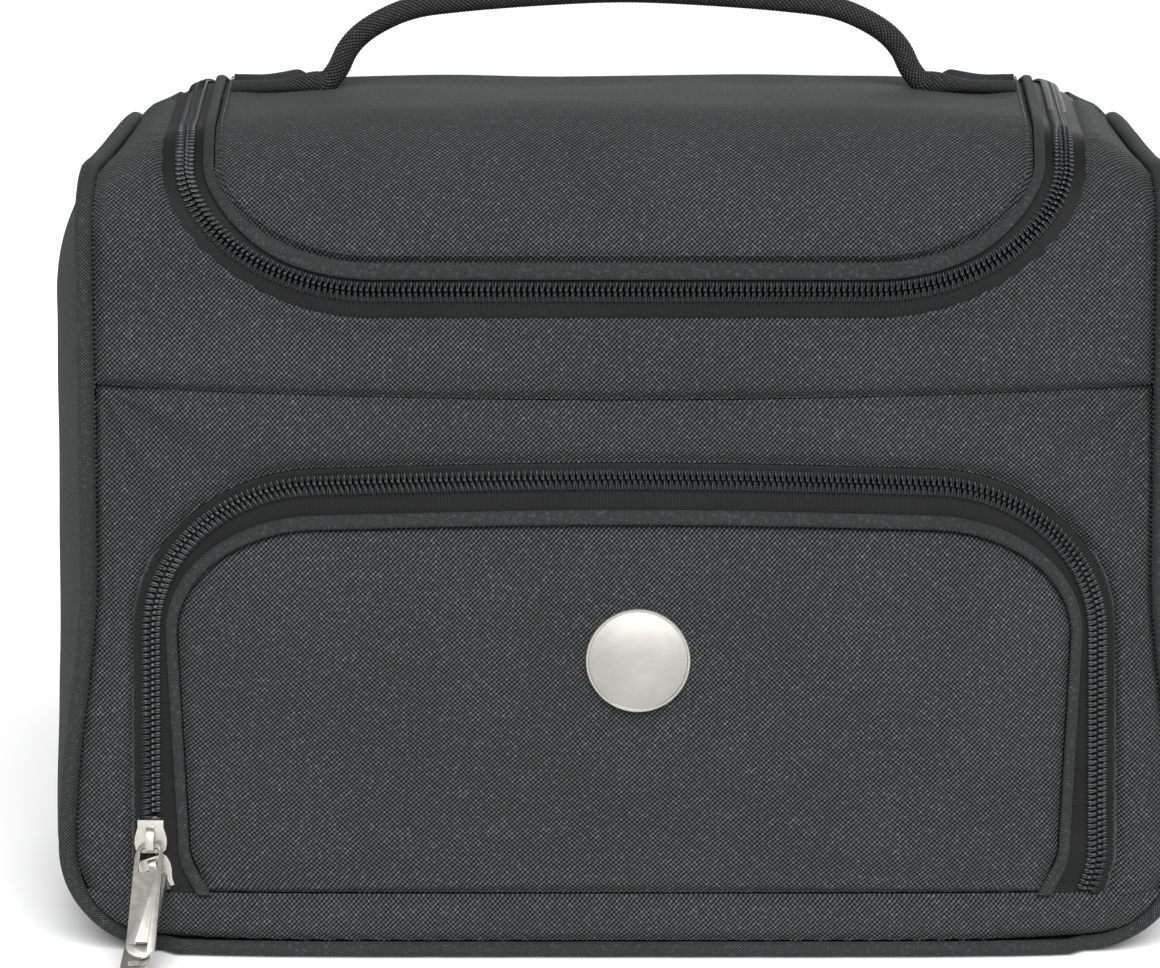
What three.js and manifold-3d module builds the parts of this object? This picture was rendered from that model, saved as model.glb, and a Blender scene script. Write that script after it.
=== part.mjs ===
// Soft-sided vanity case: zipped lid with a carrying handle, zipped front pocket, corded edges.
// Millimetres, +Z up. The origin is the middle of the base, -Y is the front of the case.
import * as THREE from 'three';
import { mergeVertices } from 'three/addons/utils/BufferGeometryUtils.js';
import Module from 'manifold-3d';

const wasm = await Module();
wasm.setup();

// Driving sizes of the case
const HALF_WIDTH = 158.5;        // from the middle to the corded edge, above the flare
const FOOT_FLARE = 7.8;            // how much further out the edge lies near the base
const FLARE_HEIGHT = 120;        // where the flare begins
const HALF_DEPTH = 88;
const POCKET_HEIGHT = 144.4;       // top of the pocket's zip
const YOKE_SEAM_RISE = 29.5;       // from the pocket's zip to the seam above it
const YOKE_RISE = 28.5;            // from that seam to the lid's zip
const SHOULDER_RISE = 38.6;        // from the lid's zip to the top of the corded edge
const CROWN_RISE = 13.7;         // from there to the top of the lid
const YOKE_SEAM = POCKET_HEIGHT + YOKE_SEAM_RISE;
const LID_FRONT = YOKE_SEAM + YOKE_RISE;
const SHOULDER_HEIGHT = LID_FRONT + SHOULDER_RISE;
const CROWN_HEIGHT = SHOULDER_HEIGHT + CROWN_RISE;
const CROWN_POWER = 5.5;         // power of the crown's fall towards the sides
const EDGE_RADIUS = 24;          // corner of the side view, along the cord
const FRONT_RADIUS = 54;         // front top corner, in the middle of the lid
const BACK_RADIUS = 57;
const BASE_RADIUS = 32;          // lower corners of the front view
const FRONT_BULGE = 8;
const BACK_BULGE = 5;
const BULGE_MIDDLE = 100;        // height of the fullest point of front and back
const BULGE_REACH = 95;
const SIDE_BULGE = 12.5;
const FLARE_EASE_SHARE = 0.85;   // the sides bulge less by this share of the flare
const SIDE_DRAW = 47;            // the sides draw in over this height below the corded edge
const SIDE_FULL_HEIGHT = SHOULDER_HEIGHT - SIDE_DRAW;

// Cloth, cord and clearances
const PANEL = 3;                 // padded cloth
const LINING = 1;
const LINING_EASE = 0.9;         // the loose lining's distance from the padded sides
const CLEARANCE = 0.3;
const OVERRUN = 1;
const CORD_RADIUS = 2.4;
const CORD_SINK = 1.6;           // depth of the cord's middle below the cloth
const SIDE_TUCK = 1.2;           // the side cloth's edge stands out this far past the cord's middle
const BOARD = 2;                 // stiff board under the lining
const LINING_DROP = 52;          // from the corded edge's top to the lining's rim
const LINING_RIM = SHOULDER_HEIGHT - LINING_DROP;
const LINING_BEND = 11;          // power that rounds the lining's upright corners

// Seams
const BASE_SEAM = 19.3;
const YOKE_SEAM_SAG = 4;

// Zips: lateral sizes run from the middle of the chain, heights from the cloth's face
const COIL_HALF = 3;
const COIL_GAP = 0.15;           // half of the gap between the two rows
const COIL_TOP = 0.4;
const COIL_HEIGHT = 1.5;
const TAPE = 0.8;
const TAPE_INNER = 1.5;          // edge of each tape, under its row
const TAPE_TOP = COIL_TOP - COIL_HEIGHT - CLEARANCE;
const BEAD_TOP = 0.9;
const POCKET_REVEAL = 5;         // from the chain to the cloth around it
const LID_REVEAL = 7.3;

// Front pocket
const POCKET_LEG_INSET = 16;     // from the corded edge to the legs of the zip
const POCKET_LEG_SPLAY = 1;
const POCKET_LEG_TOP = HALF_WIDTH - POCKET_LEG_INSET;
const POCKET_LEG_FOOT = POCKET_LEG_TOP + POCKET_LEG_SPLAY;
const POCKET_CORNER_DROP = 45.8;
const POCKET_CORNER_HEIGHT = POCKET_HEIGHT - POCKET_CORNER_DROP;
const POCKET_CROWN = 2;
const POCKET_CORNER_WIDTH = 52;
const LEG_TURN = 4;              // the legs' feet turn in by this much over the turn's height
const LEG_TURN_HEIGHT = 14;
const FLAP_INSET_TOP = 13.5;     // from the chain to the flap's cloth
const FLAP_INSET_LEG = 8.2;
const FLAP_INSET_FOOT = 12.6;
const POCKET_BEAD_TOP = 4.4;
const POCKET_BEAD_LEG = 3.4;
const POCKET_DEPTH = 10;
const POCKET_WALL = 1.5;
const POCKET_WALL_HEM = 5;

// Lid
const LID_LEG_INSET = 19.5;      // from the corded edge to the legs, where they turn behind the lid
const LID_LEG_TAPER = 4;
const LID_LEG_BACK = HALF_WIDTH - LID_LEG_INSET;
const LID_LEG_FRONT = LID_LEG_BACK - LID_LEG_TAPER;
const LID_CORNER_WIDTH = 60;
const LID_CORNER_HEIGHT = 42.7;
const LID_BEND_DEPTH = 42;       // where the legs start to bend in, behind the middle
const LID_BEND_RADIUS = 20;
const LID_INSET = 9;             // from the chain to the lid's cloth
const LID_BAND = 5.2;            // flat binding along the front
const LID_BEAD = 3.2;            // round binding along the legs
const LID_CHAIN_ANGLE = 0.6;     // the lid's rows end at this angle of the rear bend
const LID_BEAD_ANGLE = 1;
const HINGE_ROLL = 1.3;
const HINGE_SIDES = 8;
const TAIL_LENGTH_RIGHT = 50;
const TAIL_LENGTH_LEFT = 16;

// Sliders and pulls
const SLIDER_LENGTH = 10.2;
const NOSE_GAP = 1.4;            // between the pocket's sliders, which stand nose to nose
const SLIDER_TAIL_HALF = 3.9;
const SLIDER_SHOULDER_HALF = 4.9;
const SLIDER_NOSE_HALF = 3.4;
const SLIDER_PLATE = 1;
const SLIDER_PLAY = 0.35;
const SLIDER_FLANGE = 0.5;
const WEDGE_LENGTH = 4.2;
const WEDGE_HALF = 0.9;
const BRIDGE_WIDTH = 2.4;
const BRIDGE_HEIGHT = 3.2;
const BRIDGE_LENGTH = 8;
const BRIDGE_STOCK = 0.9;
const PULL_LENGTH = 40;
const PULL_WIDTH = 8.7;
const PULL_STOCK = 1.2;
const PULL_BAR = 1.2;
const PULL_WINDOW = 9;
const PULL_SIDE = 1.5;
const PULL_CORNER_SHARE = 0.7;    // how much of the half width the corners by the bar take
const PULL_SLOT_LENGTH = 4;
const PULL_SLOT_WIDTH = 1.5;
const PULL_LEAN = 0.87;          // radians that a hanging pull leans out
const LOW_PULL_LEAN = 1;
const LOW_PULL_TILT = -0.28;

// Handle
const HANDLE_DEPTH = 8;          // behind the middle of the case
const HANDLE_RADIUS = 3.65;
const HANDLE_RUN = 27;
const HANDLE_INSET = 33.5;       // from the corded edge to the handle's ends
const HANDLE_FOOT = HALF_WIDTH - HANDLE_INSET - HANDLE_RUN;
const HANDLE_RISE = 29;
const ARCH_SPAN_SHARES = [1, 0.969, 0.934, 0.898, 0.852, 0.77, 0.678, 0.53, 0.21, 0];
const ARCH_RISE_SHARES = [0, 0.007, 0.135, 0.37, 0.54, 0.71, 0.825, 0.895, 0.976, 1];
const TAB_STOCK = 1.2;
const TAB_REACH = 7;
const TAB_FLANGE = 5.2;          // height of the tab behind the tube's sewn end

// Medallion
const MEDAL_RADIUS = 15.7;
const MEDAL_OFFSET = 4.2;
const MEDAL_HEIGHT = 92.5;
const MEDAL_STOCK = 1.4;
const MEDAL_RIM = 1.2;
const MEDAL_DOME = 0.5;

// Colours
const COLOURS = {
  cloth: [0x3d3f43, 0.85, 0], cord: [0x35373a, 0.6, 0], tape: [0x333437, 0.8, 0],
  coil: [0x2b2c2f, 0.45, 0], lining: [0x2a2b2e, 0.9, 0], board: [0x55524d, 0.8, 0],
  handle: [0x232425, 0.8, 0], metal: [0xcfcabb, 0.3, 1],
};
const material = (kind) => {
  const [color, roughness, metalness] = COLOURS[kind];
  return new THREE.MeshStandardMaterial({ color, roughness, metalness });
};

// Geometry helpers: closed solids from rings, sheets and rays of points
const V = (x, y, z) => new THREE.Vector3(x, y, z);
const lerp = THREE.MathUtils.lerp;

function solidFrom(points, triangles) {
  let volume = 0;
  for (const [a, b, c] of triangles) {
    volume += points[a].dot(points[b].clone().cross(points[c]));
  }
  const order = volume < 0 ? triangles.map(([a, b, c]) => [a, c, b]) : triangles;
  const geometry = new THREE.BufferGeometry().setFromPoints(points);
  geometry.setIndex(order.flat());
  geometry.computeVertexNormals();
  return geometry;
}

function ringSolid(rings, closed) {
  const sides = rings[0].length;
  const points = rings.flat();
  const triangles = [];
  const steps = closed ? rings.length : rings.length - 1;
  for (let i = 0; i < steps; i += 1) {
    const next = (i + 1) % rings.length;
    for (let j = 0; j < sides; j += 1) {
      const k = (j + 1) % sides;
      const [a, b, c, d] = [i * sides + j, i * sides + k, next * sides + k, next * sides + j];
      triangles.push([a, b, c], [a, c, d]);
    }
  }
  if (!closed) {
    const last = (rings.length - 1) * sides;
    for (let j = 1; j < sides - 1; j += 1) {
      triangles.push([0, j + 1, j], [last, last + j, last + j + 1]);
    }
  }
  return solidFrom(points, triangles);
}

// A sheet with a face and a back, each a grid of points
function sheetSolid(face, back) {
  const rows = face.length;
  const columns = face[0].length;
  const points = [...face.flat(), ...back.flat()];
  const under = rows * columns;
  const triangles = [];
  const quad = (a, b, c, d) => triangles.push([a, b, c], [a, c, d]);
  for (let i = 0; i < rows - 1; i += 1) {
    for (let j = 0; j < columns - 1; j += 1) {
      const [a, b] = [i * columns + j, i * columns + j + 1];
      const [c, d] = [b + columns, a + columns];
      quad(a, b, c, d);
      quad(under + d, under + c, under + b, under + a);
    }
  }
  const edge = [];
  for (let j = 0; j < columns - 1; j += 1) edge.push(j);
  for (let i = 0; i < rows - 1; i += 1) edge.push(i * columns + columns - 1);
  for (let j = columns - 1; j > 0; j -= 1) edge.push((rows - 1) * columns + j);
  for (let i = rows - 1; i > 0; i -= 1) edge.push(i * columns);
  edge.forEach((a, n) => {
    const b = edge[(n + 1) % edge.length];
    quad(b, a, under + a, under + b);
  });
  return solidFrom(points, triangles);
}

// A sheet inside a closed outline: rings of points around a middle one, on face and back
function discSolid(faceMiddle, faceRings, backMiddle, backRings) {
  const sides = faceRings[0].length;
  const points = [faceMiddle, ...faceRings.flat(), backMiddle, ...backRings.flat()];
  const under = 1 + faceRings.length * sides;
  const triangles = [];
  const at = (ring, j) => 1 + ring * sides + (j % sides);
  for (let j = 0; j < sides; j += 1) {
    triangles.push([0, at(0, j), at(0, j + 1)]);
    triangles.push([under, under + at(0, j + 1), under + at(0, j)]);
    for (let ring = 0; ring < faceRings.length - 1; ring += 1) {
      const [a, b, c, d] = [at(ring, j), at(ring + 1, j), at(ring + 1, j + 1), at(ring, j + 1)];
      triangles.push([a, b, c], [a, c, d]);
      triangles.push([under + d, under + c, under + b], [under + d, under + b, under + a]);
    }
    const rim = faceRings.length - 1;
    const [a, b] = [at(rim, j), at(rim, j + 1)];
    triangles.push([a, under + a, under + b], [a, under + b, b]);
  }
  return solidFrom(points, triangles);
}

function toManifold(geometry) {
  const bare = geometry.clone();
  bare.deleteAttribute('normal');
  bare.deleteAttribute('uv');
  const merged = mergeVertices(bare);
  return new wasm.Manifold(new wasm.Mesh({
    numProp: 3,
    vertProperties: new Float32Array(merged.attributes.position.array),
    triVerts: new Uint32Array(merged.index.array),
  }));
}

function fromManifold(solid) {
  const mesh = solid.getMesh();
  const geometry = new THREE.BufferGeometry();
  geometry.setAttribute('position', new THREE.BufferAttribute(mesh.vertProperties, 3));
  geometry.setIndex(new THREE.BufferAttribute(mesh.triVerts, 1));
  geometry.computeVertexNormals();
  return geometry;
}

function join(...geometries) {
  const [first, ...others] = geometries.map(toManifold);
  return fromManifold(others.reduce((all, one) => all.add(one), first));
}

function shapeOf(outline) {
  return new THREE.Shape(outline.map(([x, y]) => new THREE.Vector2(x, y)));
}

// The case's form. u is the place across the case and s the distance up the front, over the top
// and down the back; h is the depth below the cloth's face.
const WRAP_LIFT = CORD_RADIUS * 2 + CLEARANCE + CLEARANCE;
const WRAP_BASE_RADIUS = BASE_RADIUS - WRAP_LIFT;
const CORD_BASE_RADIUS = WRAP_BASE_RADIUS + CLEARANCE + CORD_RADIUS;

function wallHalfWidth(z) {
  const share = (FLARE_HEIGHT - z) / (FLARE_HEIGHT - BASE_RADIUS);
  return HALF_WIDTH + FOOT_FLARE * THREE.MathUtils.smoothstep(share, 0, 1);
}
const BASE_CENTRE = wallHalfWidth(BASE_RADIUS) - WRAP_BASE_RADIUS;

function edgeHalfWidth(z) {
  if (z >= BASE_RADIUS) return wallHalfWidth(z);
  const drop = Math.min(BASE_RADIUS - z, WRAP_BASE_RADIUS);
  return BASE_CENTRE + Math.sqrt(WRAP_BASE_RADIUS ** 2 - drop ** 2);
}

function profileAt(u) {
  const q = Math.min(Math.abs(u) / HALF_WIDTH, 1);
  const top = SHOULDER_HEIGHT + (CROWN_HEIGHT - SHOULDER_HEIGHT) * (1 - q ** CROWN_POWER);
  const front = EDGE_RADIUS + (FRONT_RADIUS - EDGE_RADIUS) * (1 - q ** 4);
  const back = EDGE_RADIUS + (BACK_RADIUS - EDGE_RADIUS) * (1 - q ** 8);
  const frontArc = top - front;
  const topStart = frontArc + front * Math.PI / 2;
  const topEnd = topStart + HALF_DEPTH * 2 - front - back;
  const backStart = topEnd + back * Math.PI / 2;
  return { q, top, front, back, frontArc, topStart, topEnd, backStart };
}

function bulgeAt(q, z, size) {
  const share = (z - BULGE_MIDDLE) / BULGE_REACH;
  if (Math.abs(share) >= 1) return 0;
  return size * (1 - q * q) ** 1.3 * Math.cos(share * Math.PI / 2) ** 2;
}

function facePoint(u, s, h) {
  const p = profileAt(u);
  let y;
  let z;
  if (s <= p.frontArc) {
    [y, z] = [h - HALF_DEPTH, s];
  } else if (s <= p.topStart) {
    const angle = (s - p.frontArc) / p.front;
    y = p.front - HALF_DEPTH - (p.front - h) * Math.cos(angle);
    z = p.frontArc + (p.front - h) * Math.sin(angle);
  } else if (s <= p.topEnd) {
    [y, z] = [p.front - HALF_DEPTH + s - p.topStart, p.top - h];
  } else if (s <= p.backStart) {
    const angle = (s - p.topEnd) / p.back;
    y = HALF_DEPTH - p.back + (p.back - h) * Math.sin(angle);
    z = p.top - p.back + (p.back - h) * Math.cos(angle);
  } else {
    [y, z] = [HALF_DEPTH - h, p.top - p.back - (s - p.backStart)];
  }
  y += y < 0 ? -bulgeAt(p.q, z, FRONT_BULGE) : bulgeAt(p.q, z, BACK_BULGE);
  return V(u * edgeHalfWidth(z) / HALF_WIDTH, y, z);
}

// s of a place on the top and its rear corner, from its depth y
function topPlace(u, y) {
  const p = profileAt(u);
  const reach = y - (HALF_DEPTH - p.back);
  if (reach <= 0) return p.topStart + y + HALF_DEPTH - p.front;
  return p.topEnd + p.back * Math.asin(Math.min(reach / p.back, 1));
}

function backPlace(u, z) {
  const p = profileAt(u);
  return p.backStart + p.top - p.back - z;
}

// A zip's route is a list of places (x, s) with unit normals that point into the flap
function routeOf(places, middle) {
  return places.map(([x, s], i) => {
    const [a, b] = [places[Math.max(i - 1, 0)], places[Math.min(i + 1, places.length - 1)]];
    const length = Math.hypot(b[0] - a[0], b[1] - a[1]);
    let [nx, ns] = [(a[1] - b[1]) / length, (b[0] - a[0]) / length];
    if (nx * (middle[0] - x) + ns * (middle[1] - s) < 0) [nx, ns] = [-nx, -ns];
    return { x, s, nx, ns };
  });
}
// Across the case, a route is laid out in true width x; u follows the wall's flare and corners
const frontU = (x, s) => x * HALF_WIDTH / edgeHalfWidth(s);
function offsetPlace(r, lateral) {
  const s = r.s + r.ns * lateral;
  return [frontU(r.x + r.nx * lateral, s), s];
}
const offsetPoint = (r, lateral, height) => facePoint(...offsetPlace(r, lateral), -height);

// A strip along part of a route, from a section of [lateral, height] corners at each place
const stripSolid = (route, section) => ringSolid(
  route.map((r, i) => section(r, i).map(([lateral, height]) => offsetPoint(r, lateral, height))),
  false,
);
const barSection = (from, to, low, high) => () => [[from, low], [to, low], [to, high], [from, high]];
const coilSection = (side) => () => {
  const [low, high] = [COIL_TOP - COIL_HEIGHT, COIL_TOP];
  const chamfer = COIL_HEIGHT / 3;
  return [
    [side * COIL_GAP, low], [side * COIL_HALF, low], [side * COIL_HALF, high - chamfer],
    [side * (COIL_HALF - chamfer), high], [side * COIL_GAP, high],
  ];
};
const beadSection = (outer, width) => (r, i) => {
  const [right, left] = [outer(r, i), outer(r, i) - width(r, i)];
  const low = TAPE_TOP + CLEARANCE;
  const shoulder = (right - left) / 4;
  const rise = (BEAD_TOP - low) / 3;
  return [
    [left, low], [right, low], [right, BEAD_TOP - rise], [right - shoulder, BEAD_TOP],
    [left + shoulder, BEAD_TOP], [left, BEAD_TOP - rise],
  ];
};

const spread = (from, to, steps) => (
  Array.from({ length: steps + 1 }, (_, i) => lerp(from, to, i / steps))
);
// A panel between two lists of places, with rows at the given shares of the way
function panelSolid(inner, outer, shares, depth, thickness) {
  const grid = (h) => shares.map((share) => inner.map(([u, s], j) => (
    facePoint(lerp(u, outer[j][0], share), lerp(s, outer[j][1], share), h))));
  return sheetSolid(grid(depth), grid(depth + thickness));
}
// A panel inside a closed outline of places
function insetPanelSolid(outline, middle, shares, depth, thickness) {
  const rings = (h) => shares.map((share) => outline.map(([u, s]) => (
    facePoint(lerp(middle[0], u, share), lerp(middle[1], s, share), h))));
  const [over, under] = [depth, depth + thickness];
  return discSolid(facePoint(...middle, over), rings(over), facePoint(...middle, under), rings(under));
}

const model = new THREE.Group();
function addPart(name, geometry, kind, parent = model) {
  const mesh = new THREE.Mesh(geometry, material(kind));
  mesh.name = name;
  parent.add(mesh);
  return mesh;
}

// Front pocket zip: up the left leg, round the corners and down the right leg
const LEG_STEPS = 6;
const CORNER_STEPS = 8;
const TOP_STEPS = 6;
function legX(z) {
  const straight = lerp(POCKET_LEG_FOOT, POCKET_LEG_TOP,
    (z - BASE_SEAM) / (POCKET_CORNER_HEIGHT - BASE_SEAM));
  const low = Math.max(1 - (z - BASE_SEAM) / LEG_TURN_HEIGHT, 0);
  return straight - LEG_TURN * low * low;
}
const POCKET_START = BASE_SEAM + CLEARANCE;
const SLIDER_LOW_NOSE = BASE_SEAM + CLEARANCE * 2 + SLIDER_LENGTH;
const SLIDER_HIGH_NOSE = SLIDER_LOW_NOSE + NOSE_GAP;
const WEDGE_REACH = WEDGE_LENGTH + CLEARANCE;
const CHAIN_LOW_END = SLIDER_LOW_NOSE - WEDGE_REACH;
const CHAIN_START = SLIDER_HIGH_NOSE + WEDGE_REACH;
const FLAP_CHAIN_START = SLIDER_HIGH_NOSE + SLIDER_LENGTH + OVERRUN;
const POCKET_MIDDLE = [0, (BASE_SEAM + POCKET_HEIGHT) / 2];

function pocketPlaces(leftHeights) {
  const places = [];
  const cornerX = POCKET_LEG_TOP - POCKET_CORNER_WIDTH;
  const cornerHeight = POCKET_HEIGHT - POCKET_CORNER_HEIGHT;
  const corner = (side, angle) => {
    const x = cornerX + POCKET_CORNER_WIDTH * Math.cos(angle);
    const z = POCKET_CORNER_HEIGHT + cornerHeight * Math.sin(angle);
    places.push([side * x, z]);
  };
  leftHeights.forEach((z) => places.push([-legX(z), z]));
  spread(0, Math.PI / 2, CORNER_STEPS).slice(1).forEach((angle) => corner(-1, angle));
  spread(-cornerX, cornerX, TOP_STEPS).slice(1, -1).forEach((x) => {
    const z = POCKET_HEIGHT + POCKET_CROWN * Math.cos(x / cornerX * Math.PI / 2);
    places.push([x, z]);
  });
  spread(Math.PI / 2, 0, CORNER_STEPS).slice(0, -1).forEach((angle) => corner(1, angle));
  spread(POCKET_CORNER_HEIGHT, POCKET_START, LEG_STEPS).forEach((z) => {
    places.push([legX(z), z]);
  });
  return places;
}
const leftLegHeights = [
  POCKET_START, lerp(POCKET_START, CHAIN_START, 0.4), CHAIN_START, FLAP_CHAIN_START,
  ...spread(FLAP_CHAIN_START, POCKET_CORNER_HEIGHT, LEG_STEPS - 2).slice(1),
];
const pocketRoute = routeOf(pocketPlaces(leftLegHeights), POCKET_MIDDLE);
Object.assign(pocketRoute[0], { nx: 1, ns: 0 });
Object.assign(pocketRoute.at(-1), { nx: -1, ns: 0 });
const POCKET_LEFT_STATIONS = leftLegHeights.length;
const POCKET_RIGHT_START = pocketRoute.length - LEG_STEPS - 1;

// How far the flap's cloth and its bead lie from the chain: wide along the top, tapering on the legs
function flapInset(r) {
  const low = (POCKET_CORNER_HEIGHT - r.s) / (POCKET_CORNER_HEIGHT - BASE_SEAM);
  if (low >= 0) return lerp(FLAP_INSET_LEG, FLAP_INSET_FOOT, low);
  const turn = Math.min(Math.abs(r.ns), 1);
  return lerp(FLAP_INSET_LEG, FLAP_INSET_TOP, turn * turn);
}
const pocketBeadWidth = (r) => lerp(POCKET_BEAD_LEG, POCKET_BEAD_TOP, Math.abs(r.ns));
const beadOuter = (r) => flapInset(r) - CLEARANCE;

function yokeSeam(u) {
  return YOKE_SEAM - YOKE_SEAM_SAG * (1 - (u / HALF_WIDTH) ** 2);
}

// Front cloth: base strip, frame around the pocket, the pocket's flap, and the yoke around the lid
function buildFront() {
  const columns = spread(-HALF_WIDTH, HALF_WIDTH, 20);
  const foot = (u) => [u, WRAP_LIFT];
  const seam = (u) => [u, BASE_SEAM - CLEARANCE];
  addPart('front_base_strip', panelSolid(columns.map(foot), columns.map(seam),
    [0, 0.12, 0.32, 0.62, 1], 0, PANEL), 'cloth');

  const inner = pocketRoute.map((r) => offsetPlace(r, -POCKET_REVEAL));
  const seamReach = HALF_WIDTH - POCKET_CORNER_WIDTH;
  const outer = pocketRoute.map((r, i) => {
    const fromRight = pocketRoute.length - 1 - i;
    if (i < POCKET_LEFT_STATIONS || fromRight <= LEG_STEPS) {
      const share = (r.s - POCKET_START) / (POCKET_CORNER_HEIGHT - POCKET_START);
      const rim = lerp(POCKET_START, yokeSeam(HALF_WIDTH) - POCKET_CORNER_WIDTH, share);
      return [Math.sign(r.x) * HALF_WIDTH, rim];
    }
    const step = Math.min(i - POCKET_LEFT_STATIONS, fromRight - LEG_STEPS - 1);
    const side = Math.sign(r.x);
    const half = Math.floor(CORNER_STEPS / 2);
    const corner = yokeSeam(HALF_WIDTH) - POCKET_CORNER_WIDTH;
    if (step < half) {
      return [side * HALF_WIDTH, lerp(corner, yokeSeam(HALF_WIDTH), (step + 1) / half) - CLEARANCE];
    }
    if (step < CORNER_STEPS) {
      const u = lerp(HALF_WIDTH, seamReach, (step + 1 - half) / (CORNER_STEPS - half));
      return [side * u, yokeSeam(u) - CLEARANCE];
    }
    const u = r.x * seamReach / (POCKET_LEG_TOP - POCKET_CORNER_WIDTH);
    return [u, yokeSeam(u) - CLEARANCE];
  });
  addPart('front_frame_panel', panelSolid(inner, outer, [0, 0.35, 0.7, 1], 0, PANEL), 'cloth');

  // The pocket's flap hangs on the base seam, so its outline closes along it
  const foot2 = BASE_SEAM + CLEARANCE;
  const edge = pocketRoute.map((r) => offsetPlace(r, flapInset(r)));
  const closing = spread(edge.at(-1)[0], edge[0][0], TOP_STEPS + 2).slice(1, -1).map((u) => [u, foot2]);
  const outline = [...edge, ...closing];
  addPart('pocket_flap_panel',
    insetPanelSolid(outline, POCKET_MIDDLE, [0.4, 0.75, 1], 0, PANEL), 'cloth');
  const liningEdge = pocketRoute.map((r) => offsetPlace(r, flapInset(r) + COIL_HALF));
  const liningClosing = spread(liningEdge.at(-1)[0], liningEdge[0][0], TOP_STEPS + 2)
    .slice(1, -1).map((u) => [u, foot2]);
  addPart('pocket_flap_lining', insetPanelSolid([...liningEdge, ...liningClosing], POCKET_MIDDLE,
    [0.4, 0.75, 1], PANEL + CLEARANCE, LINING - CLEARANCE), 'lining');
}

// The pocket's inner wall is a shallow tray whose hem lies behind the cloth around the zip
function buildPocketWall() {
  const hem = PANEL + CLEARANCE;
  const floor = hem + LINING + POCKET_DEPTH;
  const around = (lateral, low) => {
    const edge = pocketRoute.map((r) => offsetPlace(r, lateral));
    edge[0][1] = low;
    edge.at(-1)[1] = low;
    const closing = spread(edge.at(-1)[0], edge[0][0], TOP_STEPS + 2).slice(1, -1).map((u) => [u, low]);
    return [...edge, ...closing];
  };
  const rim = POCKET_REVEAL + CLEARANCE * 2;
  const bottom = around(COIL_HALF, BASE_SEAM + CLEARANCE);
  const levels = [
    [bottom.map(([u, s]) => [u / 2, lerp(POCKET_MIDDLE[1], s, 0.5)]), floor], [bottom, floor],
    [around(-rim, BASE_SEAM - POCKET_WALL_HEM), hem],
    [around(-rim - POCKET_WALL_HEM, BASE_SEAM - POCKET_WALL_HEM * 2), hem],
  ];
  const rings = (extra) => levels.map(([places, h]) => places.map(([u, s]) => facePoint(u, s, h + extra)));
  addPart('pocket_back_wall', discSolid(
    facePoint(...POCKET_MIDDLE, floor), rings(0),
    facePoint(...POCKET_MIDDLE, floor + POCKET_WALL), rings(POCKET_WALL)), 'lining');
}

function buildPocketZip() {
  const body = pocketRoute;
  const chain = pocketRoute.slice(2);
  const flap = pocketRoute.slice(3);
  const low = TAPE_TOP - TAPE;
  addPart('pocket_tape_outer',
    stripSolid(body, barSection(CLEARANCE - POCKET_REVEAL, -TAPE_INNER, low, TAPE_TOP)), 'tape');
  addPart('pocket_coil_outer', stripSolid(chain, coilSection(-1)), 'coil');
  addPart('pocket_tape_inner', stripSolid(flap, (r) => barSection(
    TAPE_INNER, flapInset(r) - CLEARANCE, low, TAPE_TOP)()), 'tape');
  addPart('pocket_coil_inner', stripSolid(flap, coilSection(1)), 'coil');
  addPart('pocket_bead', stripSolid(body, beadSection(beadOuter, pocketBeadWidth)), 'cord');

  // Below the parked sliders' end of the flap's rows, the zip stays with the case
  const end = { ...pocketRoute[3] };
  end.s -= CLEARANCE;
  const tail = [...pocketRoute.slice(0, 3), end];
  const tailTape = FLAP_INSET_FOOT - POCKET_BEAD_LEG - CLEARANCE * 3;
  addPart('pocket_tape_tail', stripSolid(tail, barSection(TAPE_INNER, tailTape, low, TAPE_TOP)), 'tape');
  addPart('pocket_coil_tail', stripSolid(tail.slice(2), coilSection(1)), 'coil');
  const stub = [{ ...pocketRoute[0] }, { ...pocketRoute[0], x: -legX(CHAIN_LOW_END), s: CHAIN_LOW_END }];
  addPart('pocket_coil_stub', stripSolid(stub, barSection(
    -COIL_HALF, COIL_HALF, COIL_TOP - COIL_HEIGHT, COIL_TOP)), 'coil');
}

// Lid zip: from the left tail behind the lid, forwards along the left leg, across the front and back
const LEG_PLACES = 6;
const BEND_STEPS = 5;
const LID_MIDDLE = [0, profileAt(0).topStart];
const BEND_CENTRE = LID_LEG_BACK - LID_BEND_RADIUS;
const TAIL_DEPTH = LID_BEND_DEPTH + LID_BEND_RADIUS;

function lidHalf(side, tail) {
  const places = tail.map((x) => [side * x, topPlace(x, TAIL_DEPTH)]);
  const angles = [Math.PI / 2, LID_BEAD_ANGLE, LID_CHAIN_ANGLE, LID_CHAIN_ANGLE / 2, 0];
  angles.slice(1).forEach((angle) => {
    const x = BEND_CENTRE + LID_BEND_RADIUS * Math.cos(angle);
    places.push([side * x, topPlace(x, LID_BEND_DEPTH + LID_BEND_RADIUS * Math.sin(angle))]);
  });
  const legBack = topPlace(LID_LEG_BACK, LID_BEND_DEPTH);
  const legFront = LID_FRONT + LID_CORNER_HEIGHT;
  spread(0, 1, LEG_PLACES).slice(1).forEach((share) => {
    places.push([side * lerp(LID_LEG_BACK, LID_LEG_FRONT, share), lerp(legBack, legFront, share)]);
  });
  spread(0, Math.PI / 2, CORNER_STEPS).slice(1).forEach((angle) => {
    const x = LID_LEG_FRONT - LID_CORNER_WIDTH + LID_CORNER_WIDTH * Math.cos(angle);
    places.push([side * x, LID_FRONT + LID_CORNER_HEIGHT - LID_CORNER_HEIGHT * Math.sin(angle)]);
  });
  return places;
}
const TAIL_END = BEND_CENTRE - TAIL_LENGTH_RIGHT;
const TAIL_NOSES = TAIL_END + CLEARANCE + SLIDER_LENGTH;
const TAIL_CHAIN_START = TAIL_NOSES + CLEARANCE + WEDGE_REACH;
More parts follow.
